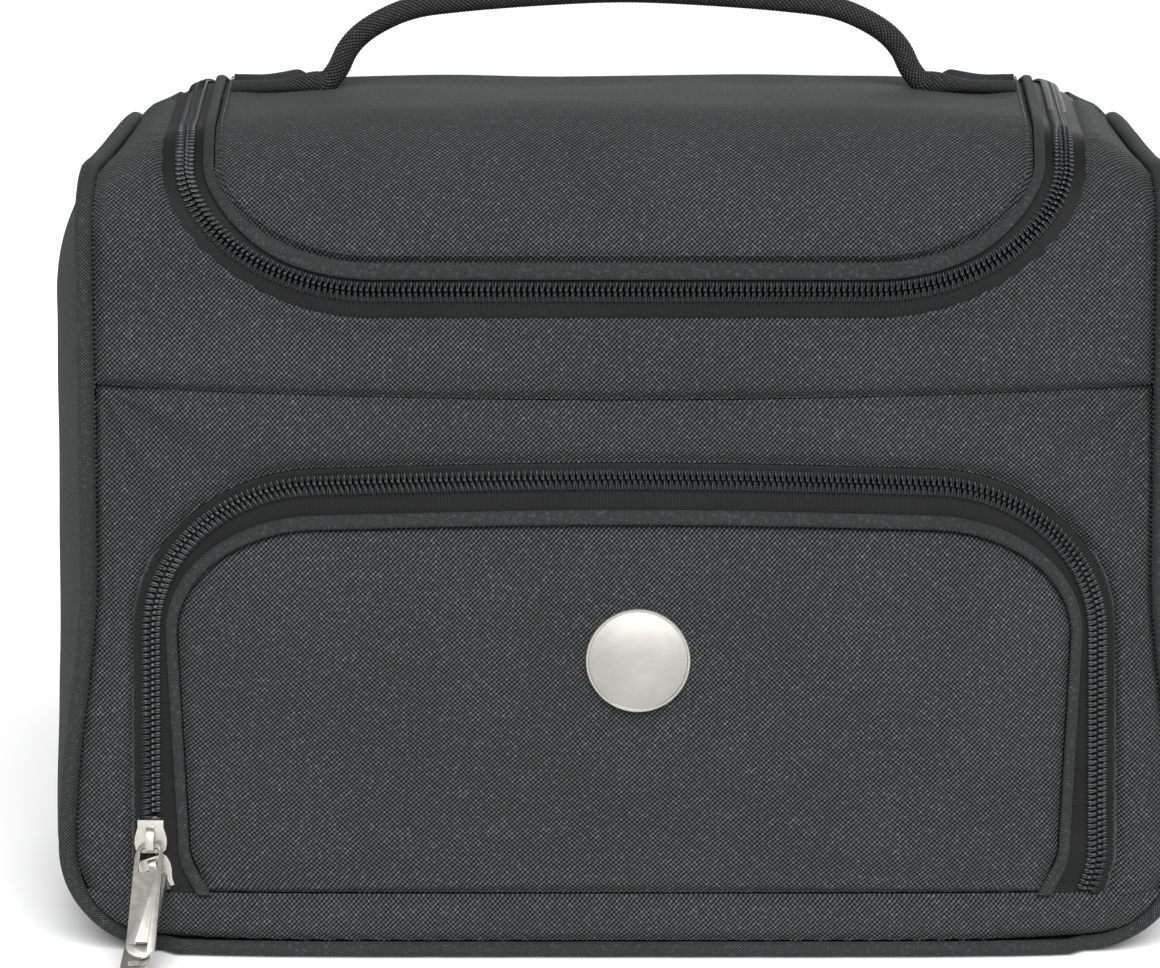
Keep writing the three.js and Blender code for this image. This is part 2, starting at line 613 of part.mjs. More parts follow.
const LEFT_TAIL_END = BEND_CENTRE - TAIL_LENGTH_LEFT;
const BEND_PLACES = 4;
const leftHalf = lidHalf(-1, [LEFT_TAIL_END, BEND_CENTRE]);
const rightHalf = lidHalf(1, [TAIL_END, TAIL_CHAIN_START, BEND_CENTRE]).toReversed();
const lidFrontX = LID_LEG_FRONT - LID_CORNER_WIDTH;
const frontLine = spread(-lidFrontX, lidFrontX, TOP_STEPS).slice(1, -1).map((u) => [u, LID_FRONT]);
const lidRoute = routeOf([...leftHalf, ...frontLine, ...rightHalf], LID_MIDDLE);
// Stations of the rear bends: where the lid's binding, its rows and the legs begin
const LEFT_BEND = 1;
const RIGHT_BEND = lidRoute.length - 3;
const [BEAD_STEP, CHAIN_STEP] = [1, 2];
const between = (step) => lidRoute.slice(LEFT_BEND + step, RIGHT_BEND - step + 1);
const HINGE_DEPTH = TAIL_DEPTH - LID_INSET + CLEARANCE + HINGE_ROLL;
const lidEdgeDepth = HINGE_DEPTH - HINGE_ROLL - CLEARANCE;

// The binding is a flat band along the front and a round bead along the legs
function legShare(r) {
  return THREE.MathUtils.smoothstep(Math.abs(r.nx), 0.3, 0.9);
}
const bindingWidth = (r) => lerp(LID_BAND, LID_BEAD, legShare(r));

function lidOutline(lateral, depth) {
  const side = between(BEAD_STEP).map((r) => offsetPlace(r, lateral));
  const corner = BEND_CENTRE;
  const back = spread(corner, -corner, TOP_STEPS + 4).map((u) => [u, topPlace(u, depth)]);
  return [...side, ...back];
}

function buildLid() {
  const ringShares = [0.36, 0.6, 0.76, 0.88, 1];
  addPart('lid_panel',
    insetPanelSolid(lidOutline(LID_INSET, lidEdgeDepth), LID_MIDDLE, ringShares, 0, PANEL), 'cloth');
  addPart('lid_lining', insetPanelSolid(
    lidOutline(LID_INSET + COIL_HALF, lidEdgeDepth - COIL_HALF), LID_MIDDLE,
    ringShares, PANEL + CLEARANCE * 2, LINING), 'lining');

  const low = TAPE_TOP - TAPE;
  addPart('lid_tape_outer',
    stripSolid(lidRoute, barSection(CLEARANCE - LID_REVEAL, -TAPE_INNER, low, TAPE_TOP)), 'tape');
  addPart('lid_coil_outer', stripSolid(lidRoute.slice(0, -1), coilSection(-1)), 'coil');
  const lidSide = between(CHAIN_STEP);
  addPart('lid_tape_inner',
    stripSolid(lidSide, barSection(TAPE_INNER, LID_INSET - CLEARANCE, low, TAPE_TOP)), 'tape');
  addPart('lid_coil_inner', stripSolid(lidSide, coilSection(1)), 'coil');
  addPart('lid_binding',
    stripSolid(between(BEAD_STEP), beadSection(() => LID_INSET - CLEARANCE, bindingWidth)), 'cord');
}

// Behind the bends both rows stay with the case
function buildLidTails() {
  const low = TAPE_TOP - TAPE;
  const tapeReach = TAIL_DEPTH - HINGE_DEPTH - HINGE_ROLL - CLEARANCE;
  const cut = (a, b) => {
    const length = Math.hypot(b.x - a.x, b.s - a.s);
    const share = CLEARANCE / length;
    return { ...b, x: lerp(b.x, a.x, share), s: lerp(b.s, a.s, share) };
  };
  const sides = [
    ['left', lidRoute.slice(0, LEFT_BEND + CHAIN_STEP + 1), 0],
    ['right', lidRoute.slice(RIGHT_BEND - CHAIN_STEP).toReversed(), 1],
  ];
  for (const [name, tail, chainStart] of sides) {
    tail.push(cut(tail.at(-2), tail.pop()));
    addPart(`lid_tape_tail_${name}`,
      stripSolid(tail, barSection(TAPE_INNER, tapeReach, low, TAPE_TOP)), 'tape');
    addPart(`lid_coil_tail_${name}`, stripSolid(tail.slice(chainStart), coilSection(1)), 'coil');
  }
}

// Cloth around the lid: the yoke across the front and along the sides, and the back
function buildYokeAndBack() {
  const stations = between(BEND_PLACES);
  const inner = stations.map((r) => offsetPlace(r, -LID_REVEAL));
  const legCount = LEG_PLACES;
  const outer = stations.map((r, i) => {
    const fromRight = stations.length - 1 - i;
    const step = Math.min(i, fromRight);
    const side = Math.sign(r.x) || 1;
    const legBack = topPlace(HALF_WIDTH, LID_BEND_DEPTH);
    if (step <= legCount) {
      return [side * HALF_WIDTH, lerp(legBack, LID_FRONT + LID_CORNER_HEIGHT, step / legCount)];
    }
    const seam = yokeSeam(HALF_WIDTH) + CLEARANCE;
    const half = Math.floor(CORNER_STEPS / 2) + 1;
    if (step <= legCount + half) {
      return [side * HALF_WIDTH, lerp(LID_FRONT + LID_CORNER_HEIGHT, seam, (step - legCount) / half)];
    }
    if (step <= legCount + CORNER_STEPS) {
      const share = (step - legCount - half) / (CORNER_STEPS - half);
      const u = lerp(HALF_WIDTH, HALF_WIDTH - LID_CORNER_WIDTH, share);
      return [side * u, yokeSeam(u) + CLEARANCE];
    }
    const u = r.x * (HALF_WIDTH - LID_CORNER_WIDTH) / lidFrontX;
    return [u, yokeSeam(u) + CLEARANCE];
  });
  addPart('yoke_panel', panelSolid(inner, outer, [0, 0.33, 0.67, 1], 0, PANEL), 'cloth');

  // The back's upper edge follows the tails of the zip and the hinge between them
  const gap = CLEARANCE;
  const after = (place) => [place[0], place[1] + gap];
  const rimOf = (route) => route.map((r) => offsetPlace(r, -LID_REVEAL));
  const left = rimOf(lidRoute.slice(0, LEFT_BEND + BEND_PLACES + 1).toReversed());
  const right = rimOf(lidRoute.slice(RIGHT_BEND - BEND_PLACES).toReversed());
  left[0] = after(left[0]);
  right[right.length - 1] = after(right.at(-1));
  const hingeBack = HINGE_DEPTH + HINGE_ROLL + CLEARANCE;
  const fold = spread(gap - LEFT_TAIL_END, TAIL_END - gap, 8).map((u) => [u, topPlace(u, hingeBack)]);
  const rim = [[-HALF_WIDTH, topPlace(HALF_WIDTH, LID_BEND_DEPTH) + gap], ...left,
    ...fold, ...right, [HALF_WIDTH, topPlace(HALF_WIDTH, LID_BEND_DEPTH) + gap]];
  const foot = rim.map((_, i) => {
    const u = lerp(-HALF_WIDTH, HALF_WIDTH, i / (rim.length - 1));
    return [u, backPlace(u, WRAP_LIFT)];
  });
  const shares = [0, 0.08, 0.13, 0.18, 0.226, 0.3, 0.39, 0.5, 0.6, 0.73, 0.86, 0.92, 0.965, 1];
  addPart('back_panel', panelSolid(rim, foot, shares, 0, PANEL), 'cloth');

  // The corded fold that the lid turns on
  const rings = spread(-BEND_CENTRE, BEND_CENTRE, 12).map((u) => (
    Array.from({ length: HINGE_SIDES }, (_, j) => {
      const angle = j / HINGE_SIDES * Math.PI * 2;
      return facePoint(u, topPlace(u, HINGE_DEPTH) + HINGE_ROLL * Math.cos(angle),
        HINGE_ROLL + CLEARANCE - HINGE_ROLL * Math.sin(angle));
    })));
  addPart('lid_hinge_fold', ringSolid(rings, false), 'cord');
}

// Side cloth, base and the cord around the edges
const SIDE_TOP = SHOULDER_HEIGHT - CORD_SINK - CORD_RADIUS - CLEARANCE;
const SIDE_HALF_DEPTH = HALF_DEPTH - CORD_SINK - CORD_RADIUS - CLEARANCE;
const CORD_REACH = CLEARANCE + CORD_RADIUS;
const BASE_TUCK = BASE_RADIUS - CORD_BASE_RADIUS;

function sideHalfDepth(z) {
  const start = SHOULDER_HEIGHT - EDGE_RADIUS;
  if (z <= start) return SIDE_HALF_DEPTH;
  const radius = SIDE_TOP - start;
  const rise = Math.min(z - start, radius);
  return HALF_DEPTH - EDGE_RADIUS + Math.sqrt(radius ** 2 - rise ** 2);
}
function sideBulge(eta, z) {
  const high = Math.max((z - SIDE_FULL_HEIGHT) / (SIDE_TOP - SIDE_FULL_HEIGHT), 0);
  const full = SIDE_BULGE - FLARE_EASE_SHARE * (wallHalfWidth(z) - HALF_WIDTH);
  return full * (1 - Math.abs(eta) ** 3) * (1 - Math.min(high, 1) ** 2);
}
// A point of the side: the turn runs from the base (1) to the wall (0), then z up the wall
function sidePoint(side, eta, turn, z, h) {
  if (turn > 0) {
    const angle = turn * Math.PI / 2;
    const radius = CORD_BASE_RADIUS + lerp(SIDE_TUCK, BASE_TUCK, Math.sin(angle))
      + sideBulge(eta, BASE_RADIUS) * Math.cos(angle) ** 2 - h;
    return V(side * (BASE_CENTRE + radius * Math.cos(angle)), eta * SIDE_HALF_DEPTH,
      BASE_RADIUS - radius * Math.sin(angle));
  }
  const reach = wallHalfWidth(z) + CORD_REACH + SIDE_TUCK + sideBulge(eta, z) - h;
  return V(side * reach, eta * sideHalfDepth(z), z);
}

function buildSides() {
  const columns = [-1, -0.9, -0.75, -0.5, -0.2, 0.2, 0.5, 0.75, 0.9, 1];
  const turns = [1, 0.85, 0.7, 0.55, 0.4, 0.2].map((turn) => [turn, 0]);
  const capStart = SHOULDER_HEIGHT - EDGE_RADIUS;
  const walls = [
    ...spread(BASE_RADIUS, SIDE_FULL_HEIGHT, 5),
    lerp(SIDE_FULL_HEIGHT, capStart, 0.6),
    ...[0, 0.38, 0.7, 0.92, 1].map((share) => lerp(capStart, SIDE_TOP, share)),
  ].map((z) => [0, z]);
  for (const [name, side] of [['left', -1], ['right', 1]]) {
    const grid = (h) => [...turns, ...walls].map(([turn, z]) => (
      columns.map((eta) => sidePoint(side, eta, turn, z, h))));
    addPart(`side_panel_${name}`, sheetSolid(grid(0), grid(PANEL)), 'cloth');
  }
  const baseWidth = (BASE_CENTRE - CLEARANCE) * 2;
  const base = addPart('base_panel', new THREE.BoxGeometry(baseWidth, SIDE_HALF_DEPTH * 2, PANEL), 'cloth');
  base.position.z = PANEL / 2;
  const board = addPart('base_board',
    new THREE.BoxGeometry(baseWidth - PANEL * 2, SIDE_HALF_DEPTH * 2 - PANEL * 2, BOARD), 'board');
  board.position.z = PANEL + CLEARANCE + BOARD / 2;
}

const CORD_CORNER_STEPS = 7;
function buildCord() {
  const places = [];
  const up = [
    ...spread(0, 1, 7).map((share) => lerp(WRAP_LIFT, BASE_RADIUS, share ** 1.8)),
    ...spread(BASE_RADIUS, FLARE_HEIGHT, 3).slice(1),
    ...spread(FLARE_HEIGHT, profileAt(HALF_WIDTH).frontArc, 1).slice(1),
  ];
  const p = profileAt(HALF_WIDTH);
  const over = [
    ...spread(p.frontArc, p.topStart, CORD_CORNER_STEPS).slice(1),
    ...spread(p.topStart, p.topEnd, 1).slice(1),
    ...spread(p.topEnd, p.backStart, CORD_CORNER_STEPS).slice(1),
  ];
  const down = up.toReversed().map((z) => backPlace(HALF_WIDTH, z)).slice(1);
  const edge = [...up, ...over, ...down];
  edge.forEach((s) => places.push([HALF_WIDTH, s]));
  edge.toReversed().forEach((s) => places.push([-HALF_WIDTH, s]));

  const middles = places.map(([u, s]) => {
    const at = facePoint(u, s, CORD_SINK);
    const low = at.z < BASE_RADIUS;
    const centre = low ? V(Math.sign(u) * BASE_CENTRE, at.y, BASE_RADIUS) : V(0, at.y, at.z);
    const out = at.clone().sub(centre).normalize();
    return at.add(out.multiplyScalar(CORD_REACH));
  });
  const sides = 8;
  const rings = middles.map((at, i) => {
    const before = middles[(i + middles.length - 1) % middles.length];
    const after = middles[(i + 1) % middles.length];
    const along = after.clone().sub(before).normalize();
    const inward = V(0, 0, BULGE_MIDDLE).sub(at);
    const across = along.clone().cross(inward).normalize();
    const rise = across.clone().cross(along);
    return Array.from({ length: sides }, (_, j) => {
      const angle = j / sides * Math.PI * 2;
      return at.clone().addScaledVector(across, CORD_RADIUS * Math.cos(angle))
        .addScaledVector(rise, CORD_RADIUS * Math.sin(angle));
    });
  });
  addPart('edge_cord', ringSolid(rings, true), 'cord');
}

// The lining is a tub: each ray from the middle meets a wall whose upright corners are rounded
function buildLining() {
  const frontInset = PANEL + LINING + POCKET_DEPTH + POCKET_WALL + CLEARANCE * 3;
  const floor = PANEL + BOARD + CLEARANCE * 2;
  const wall = (angle, z, h) => {
    const halfWidth = (y) => {
      const eta = Math.min(Math.abs(y) / SIDE_HALF_DEPTH, 1);
      if (z >= BASE_RADIUS) {
        return wallHalfWidth(z) + CORD_REACH + SIDE_TUCK + sideBulge(eta, z) - PANEL - LINING_EASE - h;
      }
      const radius = CORD_BASE_RADIUS + SIDE_TUCK - PANEL - CLEARANCE - h;
      return BASE_CENTRE + Math.sqrt(radius ** 2 - (BASE_RADIUS - z) ** 2);
    };
    const halfDepth = (x, y) => {
      const q = Math.min(Math.abs(x) / HALF_WIDTH, 1);
      if (y < 0) return HALF_DEPTH + bulgeAt(q, z, FRONT_BULGE) - frontInset - h;
      return HALF_DEPTH + bulgeAt(q, z, BACK_BULGE) - PANEL - LINING_EASE - h;
    };
    let [low, high] = [0, HALF_WIDTH * 2];
    const [cos, sin] = [Math.cos(angle), Math.sin(angle)];
    for (let i = 0; i < 40; i += 1) {
      const r = (low + high) / 2;
      const [x, y] = [r * cos, r * sin];
      const fill = (Math.abs(x) / halfWidth(y)) ** LINING_BEND
        + (Math.abs(y) / halfDepth(x, y)) ** LINING_BEND;
      if (fill < 1) low = r;
      else high = r;
    }
    return V(low * cos, low * sin, z);
  };
  const corner = Math.atan2(HALF_DEPTH, HALF_WIDTH);
  const quarter = [...spread(0, corner, 4), ...spread(corner, Math.PI / 2, 5).slice(1)];
  const angles = [
    ...quarter, ...quarter.toReversed().slice(1).map((a) => Math.PI - a),
    ...quarter.slice(1).map((a) => Math.PI + a),
    ...quarter.toReversed().slice(1, -1).map((a) => Math.PI * 2 - a),
  ];
  const heights = [0, 0.02, 0.06, 0.14, 0.3, 0.45, 0.64, 1].map((share) => lerp(floor, LINING_RIM, share));
  const outer = heights.map((z) => angles.map((a) => wall(a, z, 0)));
  const inner = heights.map((z, i) => angles.map((a) => wall(a, i ? z : z + LINING, LINING)));
  addPart('case_lining', discSolid(V(0, 0, floor), outer, V(0, 0, floor + LINING), inner), 'lining');
}

// A slider: two plates with rounded shoulders, a wedge between them, side flanges, and a bridge.
// Its chain runs along +Y from the wedge; heights are those of the zip.
function sliderGeometry() {
  const half = [
    [0, SLIDER_NOSE_HALF], [0.1, 0.92 * SLIDER_SHOULDER_HALF], [0.3, SLIDER_SHOULDER_HALF],
    [0.5, 0.97 * SLIDER_SHOULDER_HALF], [0.78, SLIDER_TAIL_HALF], [1, SLIDER_TAIL_HALF],
  ].map(([share, x]) => [x, share * SLIDER_LENGTH]);
  const outline = [...half, ...half.toReversed().map(([x, y]) => [-x, y])];
  const plate = (z) => new THREE.ExtrudeGeometry(shapeOf(outline), {
    depth: SLIDER_PLATE, bevelEnabled: false }).translate(0, 0, z);
  const roof = COIL_TOP + SLIDER_PLAY;
  const floor = TAPE_TOP - TAPE - SLIDER_PLAY;
  const flangeFoot = TAPE_TOP + SLIDER_PLAY;
  const flange = (side) => {
    const inner = half.map(([x, y]) => [side * (x - SLIDER_FLANGE), y]);
    const outer = half.toReversed().map(([x, y]) => [side * x, y]);
    const shape = shapeOf(side > 0 ? [...inner, ...outer].toReversed() : [...inner, ...outer]);
    return new THREE.ExtrudeGeometry(shape, {
      depth: roof - flangeFoot + SLIDER_PLATE / 2, bevelEnabled: false }).translate(0, 0, flangeFoot);
  };
  const wedge = new THREE.ExtrudeGeometry(
    shapeOf([[-WEDGE_HALF, 0], [WEDGE_HALF, 0], [WEDGE_HALF, WEDGE_LENGTH / 3], [0, WEDGE_LENGTH],
      [-WEDGE_HALF, WEDGE_LENGTH / 3]]),
    { depth: roof - floor + SLIDER_PLATE, bevelEnabled: false }).translate(0, 0, floor - SLIDER_PLATE / 2);

  // The bridge is an arch over the plate, drawn in (y, z) and as wide as its stock across
  const bridge = new THREE.Shape();
  const [from, to] = [BRIDGE_STOCK / 2, BRIDGE_STOCK / 2 + BRIDGE_LENGTH];
  const crown = BRIDGE_HEIGHT + SLIDER_PLATE / 2;
  bridge.moveTo(from, 0);
  bridge.lineTo(from, crown / 2);
  bridge.quadraticCurveTo(from, crown, from + crown / 2, crown);
  bridge.lineTo(to - crown, crown);
  bridge.quadraticCurveTo(to - BRIDGE_STOCK / 2, crown, to, 0);
  const [inFrom, inTo] = [from + BRIDGE_STOCK, to - BRIDGE_STOCK * 2];
  bridge.lineTo(inTo, 0);
  bridge.lineTo(inTo - BRIDGE_STOCK, crown - BRIDGE_STOCK);
  bridge.lineTo(inFrom, crown - BRIDGE_STOCK);
  bridge.lineTo(inFrom, 0);
  const arch = new THREE.ExtrudeGeometry(bridge, {
    depth: BRIDGE_WIDTH, bevelEnabled: false, curveSegments: 5 });
  arch.applyMatrix4(new THREE.Matrix4().set(
    0, 0, 1, -BRIDGE_WIDTH / 2,
    1, 0, 0, 0,
    0, 1, 0, roof + SLIDER_PLATE / 2,
    0, 0, 0, 1));
  return join(plate(roof), plate(floor - SLIDER_PLATE), flange(1), flange(-1), wedge, arch);
}
const BAR_RADIUS = Math.hypot(PULL_BAR, PULL_STOCK) / 2;
const BRIDGE_START = BRIDGE_STOCK * 1.5;
const BRIDGE_END = BRIDGE_START + BRIDGE_LENGTH - BRIDGE_STOCK * 4;
const PIVOT_NEAR = BRIDGE_START + CLEARANCE + BAR_RADIUS;
const TILT_ROOM = BRIDGE_WIDTH / 2 * Math.abs(Math.sin(LOW_PULL_TILT));
const PIVOT_FAR = BRIDGE_END - CLEARANCE - BAR_RADIUS - TILT_ROOM;
const BRIDGE_ROOM = BRIDGE_HEIGHT - BRIDGE_STOCK;
const PIVOT_Z = COIL_TOP + SLIDER_PLAY + SLIDER_PLATE + BRIDGE_ROOM / 2;

// A pull: a plate with a window whose bar goes through the bridge, and a slot near its round end.
// It hangs along -Y from the middle of its bar.
function pullGeometry() {
  const [half, top] = [PULL_WIDTH / 2, PULL_BAR / 2];
  const corner = half * PULL_CORNER_SHARE;
  const tip = top - PULL_LENGTH;
  const shape = new THREE.Shape();
  shape.moveTo(-half + corner, top);
  shape.lineTo(half - corner, top);
  shape.quadraticCurveTo(half, top, half, top - corner * 2);
  shape.lineTo(half, tip + half);
  shape.absarc(0, tip + half, half, 0, -Math.PI, true);
  shape.lineTo(-half, top - corner * 2);
  shape.quadraticCurveTo(-half, top, -half + corner, top);
  const window = new THREE.Path();
  const inner = half - PULL_SIDE;
  window.moveTo(-inner + PULL_SIDE / 2, top - PULL_BAR);
  window.lineTo(-inner, top - PULL_BAR - PULL_SIDE);
  window.lineTo(-inner, top - PULL_BAR - PULL_WINDOW);
  window.lineTo(inner, top - PULL_BAR - PULL_WINDOW);
  window.lineTo(inner, top - PULL_BAR - PULL_SIDE);
  window.lineTo(inner - PULL_SIDE / 2, top - PULL_BAR);
  window.closePath();
  const slot = new THREE.Path();
  const [slotHalf, slotY] = [PULL_SLOT_LENGTH / 2, tip + half];
  slot.absarc(slotHalf - PULL_SLOT_WIDTH / 2, slotY, PULL_SLOT_WIDTH / 2, -Math.PI / 2, Math.PI / 2);
  slot.absarc(PULL_SLOT_WIDTH / 2 - slotHalf, slotY, PULL_SLOT_WIDTH / 2, Math.PI / 2, Math.PI * 1.5);
  slot.closePath();
  shape.holes.push(window, slot);
  return new THREE.ExtrudeGeometry(shape, {
    depth: PULL_STOCK, bevelEnabled: false, curveSegments: 6 }).translate(0, 0, -PULL_STOCK / 2);
}

// A group whose Y runs along the zip and whose Z points out of the cloth
function outwardFrame(at, ahead, outward) {
  const along = ahead.clone().sub(at).normalize();
  const across = along.clone().cross(outward).normalize();
  const out = across.clone().cross(along).normalize();
  const group = new THREE.Group();
  group.matrixAutoUpdate = false;
  group.matrix.makeBasis(across, along, out).setPosition(at);
  model.add(group);
  return group;
}

// A slider with its pull, which turns on its bar: over the wedge (0) or over the chain (1)
function addSlider(name, frame, over, lean, tilt) {
  addPart(`${name.replace('_', '_slider_')}`, sliderGeometry(), 'metal', frame);
  const pivot = new THREE.Group();
  pivot.position.set(0, over ? PIVOT_FAR : PIVOT_NEAR, PIVOT_Z);
  pivot.rotation.set(over ? lean : -lean, 0, over * Math.PI + tilt);
  frame.add(pivot);
  addPart(`${name.replace('_', '_pull_')}`, pullGeometry(), 'metal', pivot);
}

function buildSliders() {
  const front = V(0, -1, 0);
  const legPoint = (z) => facePoint(-frontU(legX(z), z), z, 0);
  const high = outwardFrame(
    legPoint(SLIDER_HIGH_NOSE), legPoint(SLIDER_HIGH_NOSE + SLIDER_LENGTH), front);
  addSlider('pocket_upper', high, 0, PULL_LEAN, 0);
  const low = outwardFrame(legPoint(SLIDER_LOW_NOSE), legPoint(POCKET_START), front);
  addSlider('pocket_lower', low, 1, LOW_PULL_LEAN, LOW_PULL_TILT);

  const tailPoint = (x) => facePoint(x, topPlace(x, TAIL_DEPTH), 0);
  const angle = Math.asin((TAIL_DEPTH - HALF_DEPTH + BACK_RADIUS) / BACK_RADIUS);
  const outward = V(0, Math.sin(angle), Math.cos(angle));
  const outer = outwardFrame(tailPoint(TAIL_NOSES + CLEARANCE), tailPoint(BEND_CENTRE), outward);
  addSlider('lid_outer', outer, 1, 0, 0);
  const inner = outwardFrame(tailPoint(TAIL_NOSES), tailPoint(TAIL_END), outward);
  addSlider('lid_inner', inner, 1, 0, 0);
}

// Handle: a tube whose straight ends are sewn to the lid, with the arch between them
function buildHandle() {
  const lift = CLEARANCE + HANDLE_RADIUS;
  const tubeShape = new THREE.Shape().absarc(0, 0, HANDLE_RADIUS, 0, Math.PI * 2);
  const tube = (points, steps) => new THREE.ExtrudeGeometry(tubeShape, {
    steps, curveSegments: 5, bevelEnabled: false,
    extrudePath: new THREE.CatmullRomCurve3(points, false, 'centripetal') });
  const axisHeight = profileAt(HANDLE_FOOT).top + lift;
  const arch = ARCH_SPAN_SHARES.map((share, i) => (
    V(share * HANDLE_FOOT, HANDLE_DEPTH, axisHeight + ARCH_RISE_SHARES[i] * HANDLE_RISE)));
  const mirrored = arch.slice(0, -1).toReversed().map((p) => V(-p.x, p.y, p.z));
  addPart('handle_arch', tube([...arch, ...mirrored], 40), 'handle');
  for (const [name, side] of [['left', -1], ['right', 1]]) {
    const end = HANDLE_FOOT + HANDLE_RUN;
    const points = spread(HANDLE_FOOT + CLEARANCE, end, 3).map((x) => (
      V(side * x, HANDLE_DEPTH, Math.min(profileAt(x).top + lift, axisHeight))));
    addPart(`handle_run_${name}`, tube(points, 4), 'handle');
    const near = HANDLE_RADIUS + CLEARANCE;
    const section = [
      [near, CLEARANCE], [near, TAB_FLANGE], [near + TAB_STOCK, TAB_FLANGE], [near + TAB_REACH, CLEARANCE],
    ];
    const rings = spread(HANDLE_FOOT, end, 4).map((x) => section.map(([y, height]) => (
      facePoint(side * x, topPlace(x, HANDLE_DEPTH + y), -height))));
    addPart(`handle_tab_${name}`, ringSolid(rings, false), 'tape');
  }
}

function buildMedallion() {
  const profile = [
    [0, 0], [MEDAL_RADIUS - MEDAL_RIM / 2, 0], [MEDAL_RADIUS, MEDAL_RIM / 2],
    [MEDAL_RADIUS, MEDAL_STOCK], [MEDAL_RADIUS - MEDAL_RIM / 2, MEDAL_STOCK + MEDAL_RIM / 3],
    [MEDAL_RADIUS - MEDAL_RIM, MEDAL_STOCK], [MEDAL_RADIUS / 2, MEDAL_STOCK + MEDAL_DOME * 0.7],
    [0, MEDAL_STOCK + MEDAL_DOME],
  ].map(([x, y]) => new THREE.Vector2(x, y));
  const disc = addPart('medallion', new THREE.LatheGeometry(profile, 32), 'metal');
  const at = facePoint(frontU(MEDAL_OFFSET, MEDAL_HEIGHT), MEDAL_HEIGHT, -CLEARANCE);
  disc.rotation.x = Math.PI;
  disc.position.copy(at);
}

buildFront();
buildPocketWall();
buildPocketZip();
buildLid();
buildLidTails();
buildYokeAndBack();
buildSides();
buildCord();
buildLining();
buildSliders();
buildHandle();
buildMedallion();

export default model;
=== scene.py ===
# Dresses the vanity case: padded cloth panels, piping, zips, a corded handle and its metal pieces.
import math
import bpy
import numpy as np
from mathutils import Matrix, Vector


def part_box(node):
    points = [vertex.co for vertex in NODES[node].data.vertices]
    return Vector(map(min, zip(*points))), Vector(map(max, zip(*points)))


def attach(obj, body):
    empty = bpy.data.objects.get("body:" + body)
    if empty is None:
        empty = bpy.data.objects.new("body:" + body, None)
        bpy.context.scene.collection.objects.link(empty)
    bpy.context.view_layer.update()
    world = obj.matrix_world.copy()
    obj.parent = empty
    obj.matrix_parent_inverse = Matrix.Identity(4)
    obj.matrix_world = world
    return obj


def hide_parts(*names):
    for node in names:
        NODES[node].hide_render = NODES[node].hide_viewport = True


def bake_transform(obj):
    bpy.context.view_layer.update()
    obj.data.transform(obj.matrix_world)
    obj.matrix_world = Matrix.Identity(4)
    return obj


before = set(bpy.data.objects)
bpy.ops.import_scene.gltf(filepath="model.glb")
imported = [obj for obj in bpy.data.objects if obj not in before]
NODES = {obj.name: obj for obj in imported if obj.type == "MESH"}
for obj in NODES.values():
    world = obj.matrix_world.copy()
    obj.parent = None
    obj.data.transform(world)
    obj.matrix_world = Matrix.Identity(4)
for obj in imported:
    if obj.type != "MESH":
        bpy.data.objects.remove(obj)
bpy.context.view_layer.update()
PI = math.pi

# sizes of the case, in millimetres, as in its CAD, except SIDE_BULGE, LID_LEG_FRONT and LID_CORNER_WIDTH:
# here the sides stand fuller and the lid's legs lie further in
HALF_WIDTH, FOOT_FLARE, FLARE_HEIGHT, HALF_DEPTH = 158.5, 7.8, 120.0, 88.0
CROWN_HEIGHT, SHOULDER_HEIGHT, CROWN_POWER = 254.7, 241.0, 5.5
EDGE_RADIUS, FRONT_RADIUS, BACK_RADIUS, BASE_RADIUS = 24.0, 54.0, 57.0, 32.0
FRONT_BULGE, BACK_BULGE, BULGE_MIDDLE, BULGE_REACH = 8.0, 5.0, 100.0, 95.0
SIDE_BULGE, FLARE_EASE, SIDE_FULL_HEIGHT = 15.0, 0.85, 194.0
PANEL, LINING, EASE, GAP = 3.0, 1.0, 0.9, 0.3
CORD_RADIUS, CORD_SINK, SIDE_TUCK = 2.4, 1.6, 1.2
BOARD, LINING_RIM, LINING_BEND = 2.0, 189.0, 11.0
BASE_SEAM, YOKE_SEAM, YOKE_SAG = 19.3, 173.9, 4.0
COIL_HALF, COIL_TOP, COIL_HEIGHT = 3.0, 0.4, 1.5
TAPE, TAPE_INNER, TAPE_TOP, BEAD_TOP = 0.8, 1.5, -1.4, 0.9
POCKET_REVEAL, LID_REVEAL = 5.0, 7.3
LEG_TOP, LEG_FOOT, CORNER_HEIGHT, POCKET_HEIGHT = 142.5, 143.5, 98.6, 144.4
POCKET_CROWN, CORNER_WIDTH, LEG_TURN, LEG_TURN_HEIGHT = 2.0, 52.0, 4.0, 14.0
INSET_TOP, INSET_LEG, INSET_FOOT = 13.5, 8.2, 12.6
BEAD_WIDTH_TOP, BEAD_WIDTH_LEG = 4.4, 3.4
POCKET_DEPTH, POCKET_WALL, WALL_HEM = 10.0, 1.5, 5.0
LID_FRONT, LID_LEG_FRONT, LID_LEG_BACK = 202.4, 132.0, 139.0
LID_CORNER_WIDTH, LID_CORNER_HEIGHT = 58.0, 42.7
BEND_DEPTH, BEND_RADIUS, LID_INSET, LID_BAND, LID_BEAD = 42.0, 20.0, 9.0, 5.2, 3.2
CHAIN_ANGLE, BEAD_ANGLE, HINGE_ROLL, TAIL_RIGHT, TAIL_LEFT = 0.6, 1.0, 1.3, 50.0, 16.0
SLIDER_LENGTH, NOSE_GAP, WEDGE_REACH = 10.2, 1.4, 4.5
HANDLE_DEPTH, HANDLE_RADIUS, HANDLE_FOOT, HANDLE_RUN, HANDLE_RISE = 8.0, 3.65, 98.0, 27.0, 29.0
SPAN_SHARES = [1, 0.969, 0.934, 0.898, 0.852, 0.77, 0.678, 0.53, 0.21, 0]
